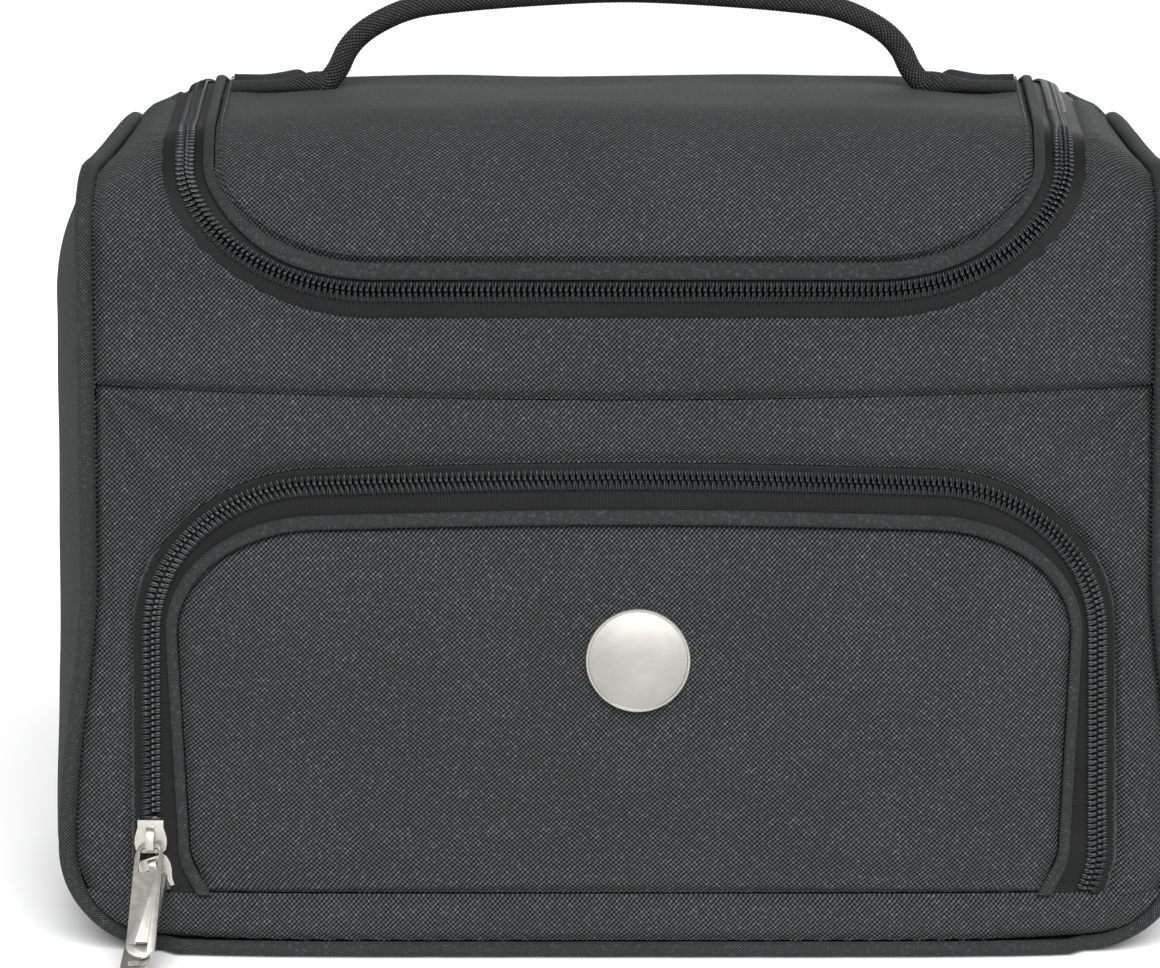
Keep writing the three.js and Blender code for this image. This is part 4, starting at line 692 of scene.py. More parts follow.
def cloth_disc(name, outline, middle, count, seed, body, material, depth=0.0, soft=1.0,
               thickness=CLOTH_STOCK, extra=None, edge_roll=DISC_ROLL):
    """A cloth in rings from its middle out to a closed outline."""
    t = (np.linspace(0, 1, count) ** DISC_CROWDING)[:, None]
    u = middle[0] * (1 - t) + outline[0] * t
    s = middle[1] * (1 - t) + outline[1] * t
    width = np.hypot(outline[0] - middle[0], outline[1] - middle[1])[None]
    edge = (1 - t) * width
    line = np.broadcast_to(distance(np.stack(outline, -1)), u.shape)
    lift = ripple(u, s, seed) * soft * clear_of(edge, WIDE_CLEAR)
    lift = lift + roll(edge, edge_roll) + pucker(line, edge) * (t > 0.5)
    if extra is not None:
        lift = lift + extra(u, s, edge)
    places = surface(u, s, depth - lift)
    obj = new_grid(name, places, metric_map(u, s), closed=True)
    return sewn(obj, thickness, material, body, name_of_node(name))


def ring_section(left, right, low, high, count=14, power=2.6):
    """Corners of a soft rounded bar, as (across, height) arrays."""
    a = np.linspace(0, 2 * PI, count + 1)
    c, s = np.cos(a), np.sin(a)
    x = np.sign(c) * np.abs(c) ** (2 / power)
    y = np.sign(s) * np.abs(s) ** (2 / power)
    mid, half = (left + right) / 2, (right - left) / 2
    return mid[:, None] + half[:, None] * x, (low + high) / 2 + (high - low) / 2 * y[None] + mid[:, None] * 0


def to_foot(x, s, height, along, foot, near=9.0):
    """Adds a row at each end that lies near the foot, carried on along the strip as far as the seam."""
    for end, beside in ((0, 1), (-1, -2)):
        if s[end].min() > foot + near:
            continue
        ds = s[end].mean() - s[beside].mean()
        slope = (x[end].mean() - x[beside].mean()) / ds
        row_x = x[end] + (foot - s[end]) * slope
        row_s = np.full_like(s[end], foot)
        on = np.array([abs(s[end].mean() - foot) * (1 if end else -1), 0])
        rows = [(x, row_x), (s, row_s), (height, height[end]), (along, along[end] + on)]
        x, s, height, along = (np.concatenate([[r], a] if end == 0 else [a, [r]]) for a, r in rows)
    return x, s, height, along


def strip(name, route, left, right, low, high, material, body, cad, count=14, power=2.6, wave=0.0,
          foot=None):
    """A tape, bead or bar that follows a route, between two distances from it and two heights."""
    left, right = (np.broadcast_to(np.asarray(v, float), route.x.shape) for v in (left, right))
    across, height = ring_section(left, right, low, high, count, power)
    if wave:
        height = height + wave * np.sin(route.d / 5.0 + 1.7 * np.sin(route.d / 17.0))[:, None]
    s = route.s[:, None] + route.ns[:, None] * across
    x = route.x[:, None] + route.nx[:, None] * across
    along = np.stack([np.broadcast_to(route.d[:, None], x.shape), across + height], -1)
    if foot is not None:
        x, s, height, along = to_foot(x, s, height, along, foot)
    u = x * HALF_WIDTH / edge_half_width(s)
    obj = new_grid(name, surface(u, s, -height), along * 0.001, capped=True)
    return finish_piece(obj, material, body, cad, 50)


def tape(node, route, left, right, body, top=TAPE_TOP, foot=None):
    """The woven half of a zip, beside its teeth."""
    return strip(node + "_cloth", route, left, right, TAPE_TOP - TAPE, top, TAPE_CLOTH, body, node,
                 power=5, foot=foot)


# zip teeth: distance from the chain's middle, half width and half height of each ring of a tooth
TOOTH_RINGS = [(-0.42, 0.2, 0.3), (-0.2, 0.5, 0.62), (0.3, 0.55, 0.72), (0.8, 0.46, 0.5), (1.15, 0.52, 0.5),
               (1.6, 0.64, 0.66), (2.6, 0.64, 0.6), (2.95, 0.4, 0.3)]


def ringed_form(name, rings, sides):
    """A rounded bar along x, in millimetres, extruded from ring to ring (place, half width, half height)."""
    deselect()
    bpy.ops.mesh.primitive_cylinder_add(vertices=sides, radius=1, depth=1, rotation=(0, PI / 2, 0))
    obj = bpy.context.object
    obj.name = obj.data.name = name
    bpy.ops.object.transform_apply(location=False, rotation=True, scale=False)
    for v in obj.data.vertices:
        x, wide, tall = rings[0] if v.co.x < 0 else rings[1]
        v.co = (x, v.co.y * wide, v.co.z * tall)
    for (x0, wide0, tall0), (x1, wide1, tall1) in zip(rings[1:], rings[2:]):
        obj.data.update()
        for polygon in obj.data.polygons:
            polygon.select = False
        max(obj.data.polygons, key=lambda p: p.center.x).select = True
        pick(obj)
        bpy.ops.object.mode_set(mode="EDIT")
        bpy.ops.mesh.select_mode(type="FACE")
        bpy.ops.mesh.extrude_region_move(TRANSFORM_OT_translate={"value": (x1 - x0, 0, 0)})
        bpy.ops.transform.resize(value=(1, wide1 / wide0, tall1 / tall0), center_override=(x1, 0, 0))
        bpy.ops.object.mode_set(mode="OBJECT")
    return obj, np.array([v.co for v in obj.data.vertices])


TOOTH, TOOTH_PLACES = ringed_form("tooth", TOOTH_RINGS, 8)
STITCH, STITCH_PLACES = ringed_form("stitch", [(-0.5, 0.05, 0.04), (-0.34, 0.19, 0.15), (0, 0.24, 0.19),
                                               (0.34, 0.19, 0.15), (0.5, 0.05, 0.04)], 6)


def rowed(name, form, places):
    """Copies of a form, each with its own places, joined into one piece."""
    count = len(places)
    obj = form.copy()
    obj.data = form.data.copy()
    obj.name = obj.data.name = name
    bpy.context.collection.objects.link(obj)
    pick(obj)
    row = obj.modifiers.new("row", "ARRAY")
    row.count = count
    row.use_merge_vertices = False
    bpy.ops.object.modifier_apply(modifier=row.name)
    obj.data.vertices.foreach_set("co", (places.reshape(-1, 3) * 0.001).astype(np.float32).ravel())
    obj.data.update()
    return obj


def teeth(node, route, side, body):
    """A row of teeth along a route, on one side of the chain."""
    v = TOOTH_PLACES
    phase = 0.5 if side > 0 else 0.0
    d = np.arange(route.d[0] + (0.35 + phase) * TOOTH_PITCH, route.d[-1] - 0.3 * TOOTH_PITCH, TOOTH_PITCH)
    r = route.at(d)
    ahead = route.at(np.clip(d + 0.5, route.d[0], route.d[-1])).point(0.0, 0.0)
    before = route.at(np.clip(d - 0.5, route.d[0], route.d[-1])).point(0.0, 0.0)
    along = unit(ahead - before)
    base = np.stack([r.point(side * x, COIL_TOP - TOOTH_AXIS + z) for x, z in zip(v[:, 0], v[:, 2])], 1)
    lean = side * TOOTH_LEAN * v[:, 0]
    obj = rowed(node + "_teeth", TOOTH, base + along[:, None, :] * (v[:, 1] + lean)[None, :, None])
    in_edit(obj, lambda: bpy.ops.mesh.normals_make_consistent(inside=False))
    return finish_piece(obj, NYLON, body, node, 60)


def stitches(name, route, lateral, height, body):
    """A row of thread stitches lying on the cloth."""
    d = np.arange(route.d[0] + STITCH_PITCH, route.d[-1] - STITCH_PITCH, STITCH_PITCH)
    places = [route.at(d + x * STITCH_LENGTH).point(lateral + y, height + z - STITCH_BOW * x * x)
              for x, y, z in STITCH_PLACES]
    return finish_piece(rowed(name, STITCH, np.stack(places, 1)), THREAD, body, (), 60)


# the cloth of the front, around the pocket
def line_ends(route, lateral, low):
    """The route's edge at a distance from the chain, with its two feet at a height."""
    u, s = route.beside(lateral)
    s[0] = s[-1] = low
    return u, s


def closed_outline(u, s, steps):
    """Closes an outline along its foot."""
    t = np.linspace(0, 1, steps + 2)[1:-1]
    foot_u, foot_s = u[-1] + (u[0] - u[-1]) * t, s[-1] + (s[0] - s[-1]) * t
    return np.concatenate([u, foot_u, u[:1]]), np.concatenate([s, foot_s, s[:1]])


def base_strip_cloth():
    u = np.linspace(-HALF_WIDTH, HALF_WIDTH, 170)
    low, high = (np.full_like(u, s) for s in (WRAP_LIFT, BASE_SEAM - SEAM_GAP))
    cloth_panel("front_base_strip_cloth", (u, low), (u, high), 18, 1, soft=0.4)


def frame_outer(x, s, count):
    """Where the frame's cloth meets the piping and the yoke's seam, for each station of the zip."""
    corner = YOKE_SEAM - CORNER_WIDTH
    reach = HALF_WIDTH - CORNER_WIDTH
    us, ss = np.empty(count), np.empty(count)
    top = np.abs(x) <= LEG_TOP - CORNER_WIDTH
    leg = ~top & (s <= CORNER_HEIGHT)
    us[leg] = np.sign(x[leg]) * HALF_WIDTH
    share = (s[leg] - POCKET_START) / (CORNER_HEIGHT - POCKET_START)
    ss[leg] = POCKET_START + (corner - POCKET_START) * share
    bend = ~top & ~leg
    turn = np.arctan2((s[bend] - CORNER_HEIGHT) / (POCKET_HEIGHT - CORNER_HEIGHT),
                      (np.abs(x[bend]) - (LEG_TOP - CORNER_WIDTH)) / CORNER_WIDTH) / (PI / 2)
    first = np.clip(turn * 2, 0, 1)
    second = np.clip(turn * 2 - 1, 0, 1)
    side = np.sign(x[bend])
    us[bend] = side * (HALF_WIDTH + (reach - HALF_WIDTH) * second)
    rise = corner + (YOKE_SEAM - corner) * first
    ss[bend] = np.where(second > 0, yoke_seam(us[bend]), rise) - SEAM_GAP
    us[top] = x[top] * reach / (LEG_TOP - CORNER_WIDTH)
    ss[top] = yoke_seam(us[top]) - SEAM_GAP
    return us, ss


def frame_cloth():
    """The frame around the pocket: its upper corners are drawn in, and the cloth gathers towards them."""
    inner = POCKET.beside(-POCKET_REVEAL)
    outer = frame_outer(POCKET.x, POCKET.s, len(POCKET.x))

    def pulls(u, s, near, far):
        out = np.zeros_like(u)
        for side in (-1, 1):
            dx, dz = (u - side * HALF_WIDTH), (s - YOKE_SEAM)
            away = np.hypot(dx, dz)
            angle = np.arctan2(dz, -side * dx)
            folds = GATHER_DEPTH * np.sin(angle * GATHER_COUNT + 0.7 * side)
            out += folds * hump(away, GATHER_REACH, GATHER_REACH) * smooth(far / 6)
            out -= CORNER_PULL * hump(away, PULL_REACH)
        out += ZIP_SWELL * hump(near, ZIP_SWELL_WIDTH, ZIP_SWELL_PLACE) * smooth(near / 5)
        return out * smooth(near / 3) - side_fall(u)

    cloth_panel("front_frame_panel_cloth", inner, outer, 34, 2, extra=pulls, soft=0.8)


def turn_at_foot(obj):
    """Bakes the placement of a piece of the flap into its mesh."""
    _, y, z = surface(0, BASE_SEAM, 0).ravel() * 0.001
    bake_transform(obj)


def flap_cloth():
    """The flap's padded front, flat around the medallion, and its lining."""
    outline = closed_outline(*line_ends(POCKET, flap_inset(POCKET), POCKET_START), 90)
    low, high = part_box("medallion")
    medal_u, _, medal_s = ((a + b) / 2 * 1000 for a, b in zip(low, high))

    def fullness(u, s, edge):
        full = FLAP_FULLNESS * smooth(edge / FLAP_FULL_WITHIN)
        full = full + FLAP_WAVE * np.sin(u / 31.0) * np.sin(s / 19.0) * smooth(edge / FLAP_WAVE_WITHIN)
        away = np.hypot(u - medal_u, s - medal_s)
        return (full + ripple(u, s, 3)) * ease(away, MEDALLION_BAND) - ripple(u, s, 3)

    turn_at_foot(cloth_disc("pocket_flap_panel_cloth", outline, POCKET_MIDDLE, 70, 3, None, CLOTH,
                            extra=fullness))
    inner = closed_outline(*line_ends(POCKET, flap_inset(POCKET) + COIL_HALF, POCKET_START), 90)
    turn_at_foot(cloth_disc("pocket_flap_lining_cloth", inner, POCKET_MIDDLE, 24, 4, None, TAFFETA,
                            depth=PANEL + GAP, soft=0.1, thickness=LINING_STOCK, edge_roll=0))


def pocket_wall_cloth():
    """The pocket's lined back: a flat floor, a slope up to the zip and a hem behind the frame."""
    hem = PANEL + GAP
    floor = hem + LINING + POCKET_DEPTH
    rim = POCKET_REVEAL + GAP * 2

    def around(lateral, low):
        return closed_outline(*line_ends(POCKET, np.full_like(POCKET.x, lateral), low), 60)

    levels = []
    bottom = around(COIL_HALF, BASE_SEAM + GAP)
    for t in np.linspace(0, 1, 16):
        levels.append((bottom[0] * t, POCKET_MIDDLE[1] + (bottom[1] - POCKET_MIDDLE[1]) * t, floor))
    slope = around(-rim, BASE_SEAM - WALL_HEM)
    for t in np.linspace(0, 1, 7)[1:]:
        levels.append((bottom[0] + (slope[0] - bottom[0]) * t, bottom[1] + (slope[1] - bottom[1]) * t,
                       floor + (hem - floor) * t))
    end = around(-rim - WALL_HEM, BASE_SEAM - WALL_HEM * 2)
    for t in np.linspace(0, 1, 4)[1:]:
        levels.append((slope[0] + (end[0] - slope[0]) * t, slope[1] + (end[1] - slope[1]) * t, hem))

    def wavy(u, s, h):
        return surface(u, s, h + WALL_WAVE * np.sin(u / 9 + s / 13) * (h > hem + 2))

    places = np.stack([wavy(*level) for level in levels])
    own = np.stack([metric_map(u, s) for u, s, _ in levels])
    obj = new_grid("pocket_back_wall_cloth", places, own, closed=True)
    sewn(obj, WALL_STOCK, TAFFETA, "case", "pocket_back_wall")


def pocket_zip():
    chain = POCKET.at(np.arange(up_leg(HIGH_NOSE + WEDGE_REACH), POCKET.d[-1], STATION))
    flap = POCKET.at(np.arange(up_leg(FLAP_START), POCKET.d[-1], STATION))
    tape("pocket_tape_outer", POCKET, -POCKET_REVEAL + TAPE_TUCK, -TAPE_INNER, "case", foot=BASE_SEAM)
    inner = tape("pocket_tape_inner", flap, TAPE_INNER, flap_inset(flap) - TAPE_TUCK, None, foot=BASE_SEAM)
    turn_at_foot(inner)
    width = BEAD_WIDTH_LEG + (BEAD_WIDTH_TOP - BEAD_WIDTH_LEG) * np.abs(POCKET.ns)
    outer = flap_inset(POCKET) - BEAD_GAP
    turn_at_foot(strip("pocket_bead_cloth", POCKET, outer - width, outer, BEAD_LOW, BEAD_TOP, BINDING, None,
                       "pocket_bead", count=18, power=2.3, wave=0.08, foot=BASE_SEAM - TAPE_TUCK))
    teeth("pocket_coil_outer", chain, -1, "case")
    teeth("pocket_coil_inner", flap, 1, "pocket_flap")
    tail = POCKET.at(np.append(np.arange(0, flap.d[0] - SHORT_STATION, SHORT_STATION), flap.d[0] - BUTT_GAP))
    tape("pocket_tape_tail", tail, TAPE_INNER, INSET_FOOT - BEAD_WIDTH_LEG - GAP * 3, "case", foot=BASE_SEAM)
    teeth("pocket_coil_tail", POCKET.at(np.arange(chain.d[0], flap.d[0] - GAP, SHORT_STATION)), 1, "case")
    stub_end = max(LOW_NOSE - WEDGE_REACH - POCKET_START, COIL_HALF)
    half = COIL_HALF - TAPE_TUCK
    strip("pocket_coil_stub_end", POCKET.at(np.arange(0, stub_end, SHORT_STATION)), -half, half,
          COIL_TOP - COIL_HEIGHT, COIL_TOP, NYLON, "case", "pocket_coil_stub", power=4)


# the lid and its zip
def lid_outline(lateral, depth):
    side = lid_between(BEAD_ANGLE)
    u, s = side.beside(lateral)
    back = np.linspace(BEND_CENTRE, -BEND_CENTRE, 90)
    bs = top_place(back, depth)
    u, s = np.concatenate([u, back]), np.concatenate([s, bs])
    return np.concatenate([u, u[:1]]), np.concatenate([s, s[:1]])


def lid_cloth():
    edge_depth = HINGE_DEPTH - HINGE_ROLL - GAP

    def sag(u, s, edge):
        return LID_WAVE * np.sin(u / 27.0 + 0.6) * np.sin(s / 23.0) * smooth(edge / LID_WAVE_WITHIN)

    outer = lid_outline(LID_INSET, edge_depth)
    cloth_disc("lid_panel_cloth", outer, LID_MIDDLE, 80, 5, "lid", CLOTH, extra=sag)
    inner = lid_outline(LID_INSET + COIL_HALF, edge_depth - COIL_HALF)
    cloth_disc("lid_lining_cloth", inner, LID_MIDDLE, 30, 6, "lid", TAFFETA, depth=PANEL + GAP * 2,
               soft=0.1, thickness=LINING_STOCK, edge_roll=0)


def lid_zip():
    chain, bead = lid_between(CHAIN_ANGLE), lid_between(BEAD_ANGLE)
    outer_top = TAPE_TOP + OUTER_TAPE_RISE
    tape("lid_tape_outer", LID, -LID_REVEAL - OUTER_TAPE_UNDER, -TAPE_INNER, "case", outer_top)
    tape("lid_tape_inner", chain, TAPE_INNER, LID_INSET - TAPE_TUCK, "lid")
    width = LID_BAND + (LID_BEAD - LID_BAND) * ease(np.abs(bead.nx), LEG_TURN_BAND)
    outer = np.full_like(bead.x, LID_INSET - BEAD_GAP)
    strip("lid_binding_cloth", bead, outer - width, outer, BEAD_LOW, BEAD_TOP, BINDING, "lid", "lid_binding",
          count=20, power=2.8, wave=0.07)
    first = float(LID.d[0])
    nose = BEND_CENTRE - TAIL_RIGHT + SLIDER_LENGTH + WEDGE_REACH + GAP * 2
    last = float(np.interp(-nose, -LID.x[-TAIL_COUNT:], LID.d[-TAIL_COUNT:]))
    teeth("lid_coil_outer", LID.at(np.arange(first, last, STATION)), -1, "case")
    teeth("lid_coil_inner", LID.at(np.arange(chain.d[0], chain.d[-1], STATION)), 1, "lid")
    reach = TAIL_DEPTH - HINGE_DEPTH - HINGE_ROLL - GAP
    begin, end = chain.d[0], chain.d[-1]
    left = LID.at(np.append(np.arange(first, begin - SHORT_STATION, SHORT_STATION), begin - BUTT_GAP))
    right = LID.at(np.arange(end + BUTT_GAP, LID.d[-1], SHORT_STATION))
    tape("lid_tape_tail_left", left, TAPE_INNER, reach, "case")
    tape("lid_tape_tail_right", right, TAPE_INNER, reach, "case")
    teeth("lid_coil_tail_left", left, 1, "case")
    teeth("lid_coil_tail_right", LID.at(np.arange(end + GAP, last, SHORT_STATION)), 1, "case")
    seam = LID.at(np.arange(bead.d[0] + THREAD_START, bead.d[-1] - THREAD_START, 1.0))
    stitches("lid_edge_stitches", seam, LID_INSET + THREAD_INSET, THREAD_HEIGHT, "lid")


def yoke_outer(route):
    """Where the yoke's cloth meets the piping and the seam below, for each station of the lid's zip."""
    count = len(route.x)
    us, ss = np.empty(count), np.empty(count)
    back = float(top_place(HALF_WIDTH, BEND_DEPTH))
    leg_back = float(top_place(LID_LEG_BACK, BEND_DEPTH))
    front = LID_FRONT + LID_CORNER_HEIGHT
    centre = LID_LEG_FRONT - LID_CORNER_WIDTH
    top = np.abs(route.x) <= centre
    leg = ~top & (route.s >= front)
    share = (leg_back - route.s[leg]) / (leg_back - front)
    us[leg] = np.sign(route.x[leg]) * HALF_WIDTH
    ss[leg] = back + (front - back) * share
    bend = ~top & ~leg
    turn = np.arctan2((front - route.s[bend]) / LID_CORNER_HEIGHT,
                      (np.abs(route.x[bend]) - centre) / LID_CORNER_WIDTH) / (PI / 2)
    split = 0.62
    first, second = np.clip(turn / split, 0, 1), np.clip((turn - split) / (1 - split), 0, 1)
    us[bend] = np.sign(route.x[bend]) * (HALF_WIDTH - LID_CORNER_WIDTH * second)
    fall = front + (YOKE_SEAM - front) * first
    ss[bend] = np.where(second > 0, yoke_seam(us[bend]), fall) + SEAM_GAP
    us[top] = route.x[top] * (HALF_WIDTH - LID_CORNER_WIDTH) / centre
    ss[top] = yoke_seam(us[top]) + SEAM_GAP
    return us, ss


def yoke_cloth():
    """The yoke has fine folds at its corners, and a soft chest below a hollow beside the zip."""
    first = TAIL_COUNT + BEND_COUNT - 2
    route = LID.part(first, len(LID.x) - first)

    def gathers(u, s, near, far):
        fold = hump(s, FOLD_WIDTH, FOLD_PLACE) * ease(np.abs(u), FOLD_BAND)
        lines = np.sin((s + np.sign(u) * 3) / FOLD_SPACING) * FOLD_DEPTH * hump(near, 4, 4)
        end = np.minimum(route.d - route.d[0], route.d[-1] - route.d)[None]
        chest = CHEST_RISE * hump(far, CHEST_WIDTH, CHEST_PLACE)
        chest = chest - CHEST_DIP * hump(near, DIP_WIDTH, DIP_PLACE)
        lift = lines * fold - side_fall(u) * ease(near, YOKE_FALL_BAND)
        return lift + chest * smooth(far / 5) * smooth(near / 6) + roll(end, *YOKE_END_ROLL)

    # at the corners and the legs the cloth laps further over the tape
    lap = YOKE_LAP * smooth(np.abs(route.nx) / LAP_TURN)
    lap = lap * smooth((route.d - route.d[0]) / LAP_WITHIN) * smooth((route.d[-1] - route.d) / LAP_WITHIN)
    edge = route.beside(-LID_REVEAL - YOKE_GAP + lap)
    cloth_panel("yoke_panel_cloth", edge, yoke_outer(route), 40, 7, extra=gathers, soft=0.9)


def back_cloth():
    """The back, from the zip's tails and the hinge down to the base, on stations that even out below."""
    first = TAIL_COUNT + BEND_COUNT - 2
    left = LID.part(0, first + 1)
    right = LID.part(len(LID.x) - first - 1, len(LID.x))
    lu, ls = (v[::-1] for v in left.beside(-LID_REVEAL))
    ru, rs = (v[::-1] for v in right.beside(-LID_REVEAL))
    back = HINGE_DEPTH + HINGE_ROLL + GAP
    fold = np.linspace(-(BEND_CENTRE - TAIL_LEFT) + GAP, BEND_CENTRE - TAIL_RIGHT - GAP, 60)
    edge = float(top_place(HALF_WIDTH, BEND_DEPTH)) - GAP * 4
    side = np.linspace(0, 1, 8)[:-1]
    u0 = -HALF_WIDTH + (lu[0] + HALF_WIDTH) * side
    s0 = edge + (ls[0] - edge) * side
    u1 = ru[-1] + (HALF_WIDTH - ru[-1]) * (1 - side[::-1])
    s1 = rs[-1] + (edge - rs[-1]) * (1 - side[::-1])
    rim_u = np.concatenate([u0, lu, fold, ru, u1])
    rim_s = np.concatenate([s0, ls, top_place(fold, back), rs, s1])
    foot_u = np.linspace(-HALF_WIDTH, HALF_WIDTH, len(rim_u))
    t = np.linspace(0, 1, 90)
    t = t - 0.1 * np.sin(2 * PI * t) / PI
    drift = smooth(t * 1.3)[:, None]
    u = rim_u[None] * (1 - drift) + foot_u[None] * drift
    s = rim_s[None] * (1 - t[:, None]) + back_place(foot_u, WRAP_LIFT)[None] * t[:, None]
    near, far = s - rim_s[None], back_place(foot_u, WRAP_LIFT)[None] - s
    sides = HALF_WIDTH - np.abs(u)
    edge_away = np.minimum(np.minimum(near, far), sides)
    lift = ripple(u, s, 8) * clear_of(edge_away, WIDE_CLEAR)
    lift += roll(near, *SHOULDER_ROLL) * ease(np.abs(rim_u), SHOULDER_BAND)[None]
    lift += roll(near, *HEM_ROLL) + roll(far) + roll(sides) + pucker(s, sides) + pucker(u, far)
    obj = new_grid("back_panel_cloth", surface(u, s, -lift), metric_map(u, s))
    sewn(obj, CLOTH_STOCK, CLOTH, "case", "back_panel")


def hinge_fold():
    """The lid turns on a rolled fold; a strip of lining behind it closes the gap when the lid is open."""
    u = np.linspace(-BEND_CENTRE, BEND_CENTRE, 120)
    a = np.linspace(0, 2 * PI, 15)
    s = top_place(u, HINGE_DEPTH)[:, None] + HINGE_ROLL * np.cos(a)
    h = HINGE_ROLL + GAP - HINGE_ROLL * np.sin(a)[None] + 0.06 * np.sin(u / 4.0)[:, None]
    own = np.stack([np.broadcast_to(u[:, None], s.shape), s], -1) * 0.001
    obj = new_grid("lid_hinge_fold_roll", surface(u[:, None] + 0 * s, s, h), own, capped=True)
    finish_piece(obj, BINDING, "case", "lid_hinge_fold", 60)
    u = np.linspace(-BEND_CENTRE - GUSSET_SIDE, BEND_CENTRE + GUSSET_SIDE, 120)[:, None]
    y = HINGE_DEPTH + np.linspace(-GUSSET_HALF, GUSSET_HALF, 21)[None]
    places = surface(u, top_place(u, y), GUSSET_SINK)
    obj = new_grid("lid_hinge_gusset", places, metric_map(*np.broadcast_arrays(u, y)))
    sewn(obj, GUSSET_STOCK, TAFFETA, None, "lid_hinge_fold", 60)
    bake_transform(obj)


# sides, base and piping
SIDE_TOP = SHOULDER_HEIGHT - CORD_SINK - CORD_RADIUS - GAP
SIDE_HALF_DEPTH = HALF_DEPTH - CORD_SINK - CORD_RADIUS - GAP


def side_half_depth(z):
    start = SHOULDER_HEIGHT - EDGE_RADIUS
    radius = SIDE_TOP - start
    rise = np.clip(z - start, 0, radius)
    arc = np.sqrt(np.maximum(radius ** 2 - rise ** 2, 0))
    return np.where(z <= start, SIDE_HALF_DEPTH, HALF_DEPTH - EDGE_RADIUS + arc)


def side_bulge(eta, z):
    high = np.clip((z - SIDE_FULL_HEIGHT) / (SIDE_TOP - SIDE_FULL_HEIGHT), 0, 1)
    full = SIDE_BULGE - FLARE_EASE * (wall_half_width(z) - HALF_WIDTH)
    return full * (1 - np.abs(eta) ** 3) * (1 - high ** 2)


def side_cloth(name, side):
    """A padded side: a part that turns under, to the base, and the upright part above it."""
    eta = np.sin(np.linspace(-PI / 2, PI / 2, 60))[None]
    turn = np.linspace(1, 0, 22)[:-1, None]
    angle = turn * PI / 2
    tuck = SIDE_TUCK + (BASE_RADIUS - CORD_BASE - SIDE_TUCK) * np.sin(angle)
    low_radius = CORD_BASE + tuck + side_bulge(eta, np.full_like(turn, BASE_RADIUS)) * np.cos(angle) ** 2
    rise = np.linspace(0, 1, 70)[:, None]
    z = BASE_RADIUS + (SIDE_TOP - BASE_RADIUS) * np.sin(rise * PI / 2) ** 1.15
    edge = (1 - np.abs(eta)) * SIDE_HALF_DEPTH
    low_lift = (roll(edge) * (turn < 0.97) + pucker(turn * 40, edge, 9)) * np.cos(angle)
    radius = low_radius + low_lift
    out, down = BASE_CENTRE + radius * np.cos(angle), BASE_RADIUS - radius * np.sin(angle)
    low = np.stack(np.broadcast_arrays(side * out, eta * SIDE_HALF_DEPTH, down), -1)
    lift = ripple(eta * 90 * side, z, 9 + side) * clear_of(edge)
    lift = lift * ease(z, SIDE_RIPPLE_BAND) * ease(SIDE_TOP - z, SIDE_TOP_BAND)
    lift = lift + roll(edge) + pucker(z, edge, 9) + roll(SIDE_TOP - z)
    reach = wall_half_width(z) + CORD_REACH + SIDE_TUCK + side_bulge(eta, z) + lift
    deep = eta * side_half_depth(z)
    rise = z + crown_lift(HALF_WIDTH, deep) * ease(z, (SIDE_CROWN_FOOT, SIDE_TOP))
    high = np.stack(np.broadcast_arrays(side * reach, deep, rise), -1)
    places = np.concatenate([low, high])
    run = np.concatenate([(turn[:, 0] - 1) * -45, 45 + (z[:, 0] - BASE_RADIUS)])
    own = metric_map(*np.broadcast_arrays(eta * 84, run[:, None]))
    obj = new_grid(name + "_cloth", places, own)
    sewn(obj, SIDE_STOCK, CLOTH, "case", name)


def base_cloth():
    """The flat base: a box whose rims are bevelled, with a shallow quilted dip beneath."""
    _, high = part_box("base_panel")
    deselect()
    bpy.ops.mesh.primitive_grid_add(x_subdivisions=120, y_subdivisions=72, size=2)
    obj = bpy.context.object
    obj.name = obj.data.name = "base_panel_cloth"
    v = np.empty(len(obj.data.vertices) * 3, np.float32)
    obj.data.vertices.foreach_get("co", v)
    v = v.reshape(-1, 3)
    x, y = v[:, 0] * high[0], v[:, 1] * high[1]
    edge = np.minimum(high[0] - np.abs(x), high[1] - np.abs(y)) * 1000
    v[:, 0], v[:, 1] = x, y - base_fullness(x * 1000, 0) * 0.001 * np.clip(-y / high[1], 0, 1) ** 4
    v[:, 2] = 0.001 * (BASE_LIFT + BASE_RIM * hump(edge, BASE_RIM_REACH))
    obj.data.vertices.foreach_set("co", v.ravel())
    uv = np.empty(len(obj.data.loops), np.int32)
    obj.data.loops.foreach_get("vertex_index", uv)
    obj.data.uv_layers[0].data.foreach_set("uv", v[uv, :2].ravel())
    obj.data.update()
    sewn(obj, SIDE_STOCK, CLOTH, "case", "base_panel")


